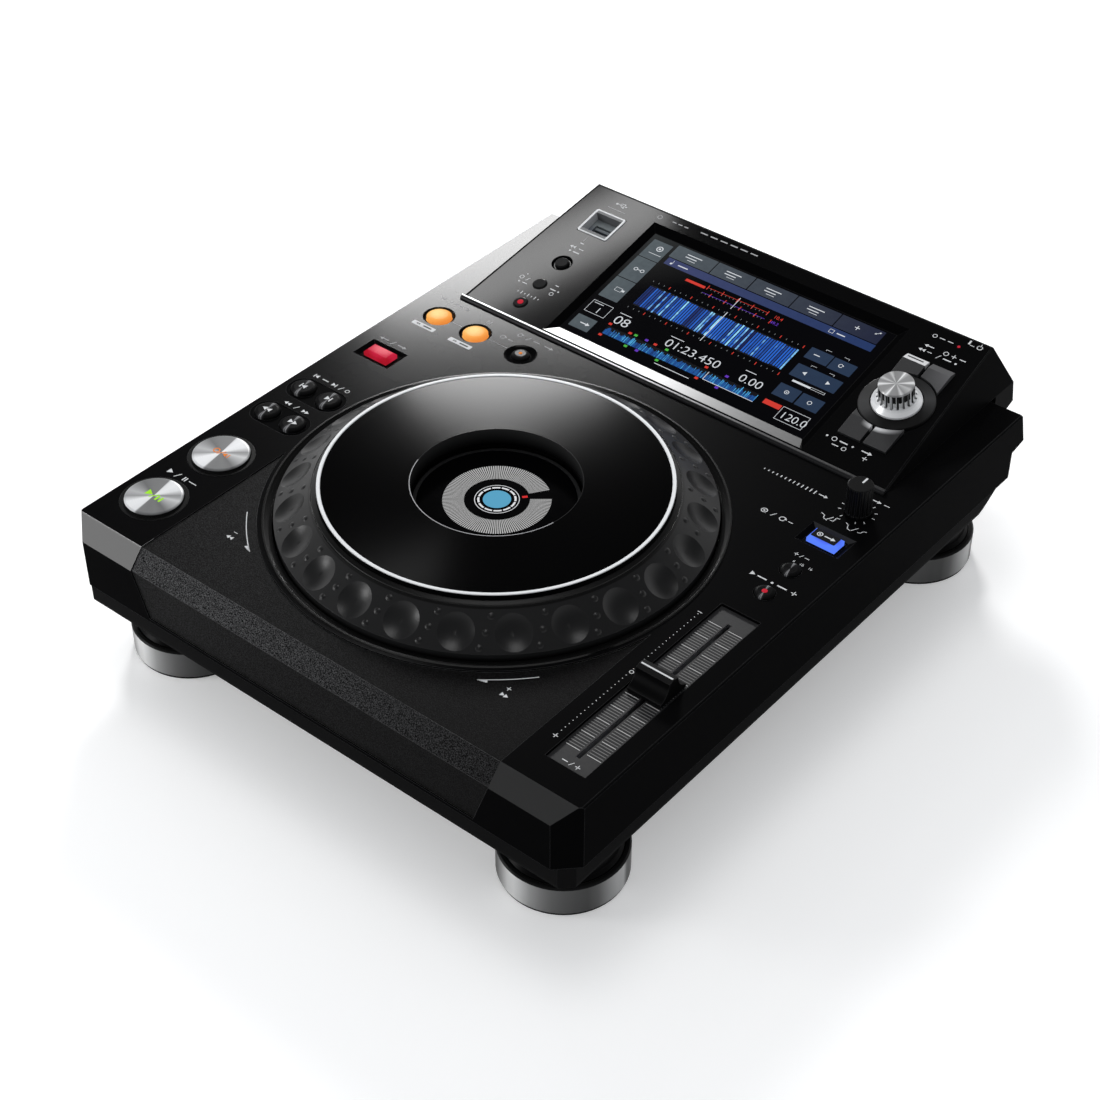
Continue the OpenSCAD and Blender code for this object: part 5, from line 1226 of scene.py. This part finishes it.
# Prints on the tilted panel
keysX = panel["keysX"]
panelWhite = sign("arrowBack", 98.9, 94.6, 3.8) + row(90.9, ("return", 97.0, 3.0),
                                                      ("bar", 101.2, 2.6))
panelWhite += row(94.3, ("ring", 108.8, 2.9), ("plus", 113.4, 2.8), ("bar", 118.4, 3.6))
panelWhite += row(90.6, ("slash", 106.6, 3.0), ("bar", 111.6, 4.6), ("dot", 116.6, 2.6))
panelWhite += sign("dot", 89.4, 17.3, 2.4) + row(17.2, ("ring", 93.8, 2.9),
                                                 ("bar", 99.2, 4.6), ("dot", 104.4, 2.2))
panelWhite += row(13.8, ("bar", 96.4, 3.6), ("ring", 101.4, 2.7))
panelWhite += sign("arrow", 112.4, 17.4, 4.2) + sign("plus", 113.6, 13.7, 2.7)
# Power sign, and marks beside it
panelWhite += [ringMark(120.9, 106.3, 1.15, 1.55, 115, 425, 40), bar(120.9, 107.9, 0.45, 1.9),
               bar(114.7, 107.2, 1.0, 2.8), bar(116.8, 105.6, 2.6, 0.35)]
panelWhite += row(102.4, ("ring", 97.2, 2.6), ("bar", 101.6, 3.2), ("bar", 106.4, 3.2))
# Signs beside the three small keys
panelWhite += [bar(keysX, 66.3, 2.4, 0.7), bar(-94.6, 32.8, 2.2, 0.6),
               dotMark(-114.6, 32.2, 0.45, 12)]
panelWhite += row(29.0, ("ring", -116.0, 2.7), ("slash", -112.0, 2.8))
panelWhite += sign("dot", -115.4, 25.6, 2.2) + sign("bar", -111.6, 25.8, 3.2)
panelWhite += row(29.4, ("bar", -94.8, 3.8), ("dot", -91.2, 2.2)) + sign("ring", -93.6, 26.4, 2.6)
panelWhite += [bar(keysX - 7.0 + step * 2.3, 19.4, 0.5, 1.1 + 1.1 * (step % 2))
               for step in range(7)]
panelWhite += row(62.0, ("return", keysX - 2.8, 3.0), ("bar", keysX + 2.6, 3.2))
panelWhite += row(58.8, ("dot", keysX - 2.6, 2.4), ("bar", keysX + 1.6, 4.2))
# Stick sign over the port: a stem with two branches, a dot and a square
panelWhite += [bar(-103.9, 101.9, 6.0, 0.35), dotMark(-106.9, 101.9, 0.75, 14),
               pointer(-100.7, 101.9, 0.8, 0)]
panelWhite += stroke([(-105.2, 101.9), (-104.0, 103.2), (-102.6, 103.2)], 0.32)
panelWhite += stroke([(-104.4, 101.9), (-103.4, 100.7), (-102.4, 100.7)], 0.32)
panelWhite += [dotMark(-102.3, 103.2, 0.5, 10), bar(-102.1, 100.7, 0.9, 0.9)]
joined("panelMarks", panelWhite, panelFace(printLift), inkWhite)
panelGrey = [bar(-50.4 + step * 6.6, 105.9, 4.6, 0.8, 0, 0.1) for step in range(6)]
panelGrey += sign("ring", -79.6, 104.8, 3.0)
panelGrey += [bar(-104.5, 70.4, 0.3, 4.6), bar(-104.0, 97.4, 12.0, 0.45)]
panelGrey += [bar(-70.0 + step * 4.0, 105.2, 2.6, 0.7) for step in range(3)]
joined("panelGreyMarks", panelGrey, panelFace(printLift), inkGrey)

# Painted reflection on the sloping face along the front of the screen, a thin sheet: white at the
# left and grey at the right
chinPlate = {"outer": (-80.6, 3.2, 82.7), "inner": (-75.4, 10.2, 79.3), "lift": 0.02,
             "deep": -2.1, "thick": 0.12, "fade": (-80.0, 84.0),
             "shine": [(0.0, 1.0), (0.3, 0.98), (0.38, 0.86), (0.45, 0.68), (0.55, 0.5),
                       (0.64, 0.33), (0.73, 0.23), (0.82, 0.16), (1.0, 0.1)]}


def chinLook():
    look = Look("chinSheen")
    x, y, z = look.split(look.places())
    tone = look.ramp(x.fade(*chinPlate["fade"]),
                     [(spot, grey(tone)) for spot, tone in chinPlate["shine"]])
    hairs = look.noise(look.places(), 0.5)
    look.give(colour=look.blend(hairs * 0.12, tone, grey(0.4)), metal=0.1, gloss=0.1,
              rough=0.35 + hairs * 0.1)
    return look


def chinPiece():
    clearChoice()
    bpy.ops.mesh.primitive_plane_add(size=1, location=(0, 0, 0))
    piece = latest()
    rims = (chinPlate["outer"], chinPlate["lift"]), (chinPlate["inner"], chinPlate["deep"])
    corners = [(x, s, lift) for (left, s, right), lift in rims for x in (left, right)]
    for point, corner in zip(piece.data.vertices, corners):
        point.co = corner
    thickness = piece.modifiers.new("thickness", "SOLIDIFY")
    thickness.thickness = chinPlate["thick"]
    thickness.offset = 1
    bpy.ops.object.modifier_apply(modifier=thickness.name)
    return piece


joined("screenChin", [chinPiece()], panelFace(0), chinLook())

# Painted highlight: a grey arc along the front of the jog window's rim
windowRimGlint = {"radius": 40.95, "wide": 0.4, "z": 99.9, "arc": (196, 350)}
joined("windowRimGlint", [jogRing(windowRimGlint["radius"], windowRimGlint["wide"], *windowRimGlint["arc"], 180)],
       flatFace(windowRimGlint["z"] + printLift), inkGrey, "jog_top")


def lensDrop(x, y, radius, high):
    # A small domed lens, cut flat underneath
    clearChoice()
    bpy.ops.mesh.primitive_uv_sphere_add(segments=24, ring_count=12, radius=radius,
                                         location=(0, 0, 0))
    piece = latest()
    editAll(lambda: bpy.ops.mesh.bisect(plane_co=(0, 0, 0), plane_no=(0, 0, -1),
                                        clear_outer=True, use_fill=True))
    piece.location = (x, y, 0)
    piece.scale = (1, 1, high / radius)
    settle(piece)
    bpy.ops.object.shade_smooth_by_angle()
    return [piece]


def keyFace(height):
    # The face at a height above the deck
    return flatFace(deck["z"] + height)


# Lenses, lines and signs on the controls
joined("standbyLens", lensDrop(111.5, 101.8, 0.8, 0.4), panelFace(0), glowRed)
joined("quantizeLens", lensDrop(keysX, 12.8, 1.7, 0.35), panelFace(0.8), glowRed,
       "quantize_key")
joined("masterLens", lensDrop(*blackKeys["master_tempo"], 1.4, 0.35),
       keyFace(1.2), glowRed, "master_tempo_key")
joined("reloopLens", lensDrop(leftX + 56.5, loopY, 1.0, 0.35), keyFace(0.9), glowOrange,
       "reloop_key")
joined("speedPointer", [bar(speedX + 0.3, speedY + 3.3, 1.0, 4.4, 0, 0.3)],
       keyFace(16.7 + printLift), inkWhite, "speed_dial")
joined("sliderLine", [bar(rightX, sliderY, 17.0, 0.9, 0, 0.2)],
       keyFace(9.2 + printLift), inkWhite, "tempo_fader_cap")
joined("modeWindow", [bar(rightX, 22.3, 13.2, 6.2, 0, 0.6)],
       keyFace(1.6 + printLift), inkBlack, "jog_mode_key")
joined("modeSign", row(22.4, ("ring", rightX - 3.2, 3.0), ("dot", rightX - 3.2, 2.0),
                       ("arrow", rightX + 2.2, 4.2)),
       keyFace(1.6 + 2 * printLift), uiWhite, "jog_mode_key")
print("scene: panel prints and small pieces made")


# Pale floor: it keeps the shadow, and looks white to the eye and in gloss
floorPale = {"colour": grey(0.9), "lift": 0.3, "size": 12, "drop": 0.0002}


def floorLook():
    look = Look("floorPaint")
    cloud = look.noise(look.places(), 0.004)
    look.give(colour=look.blend(cloud, toned(floorPale["colour"], 0.98), floorPale["colour"]),
              rough=0.7, gloss=0.1, light=grey(1.0), strength=look.seen() * floorPale["lift"])
    return look


clearChoice()
bpy.ops.mesh.primitive_plane_add(size=floorPale["size"], location=(0, 0, -floorPale["drop"]))
floor = latest()
floor.name = "floor"
floor.data.materials.append(floorLook().material)
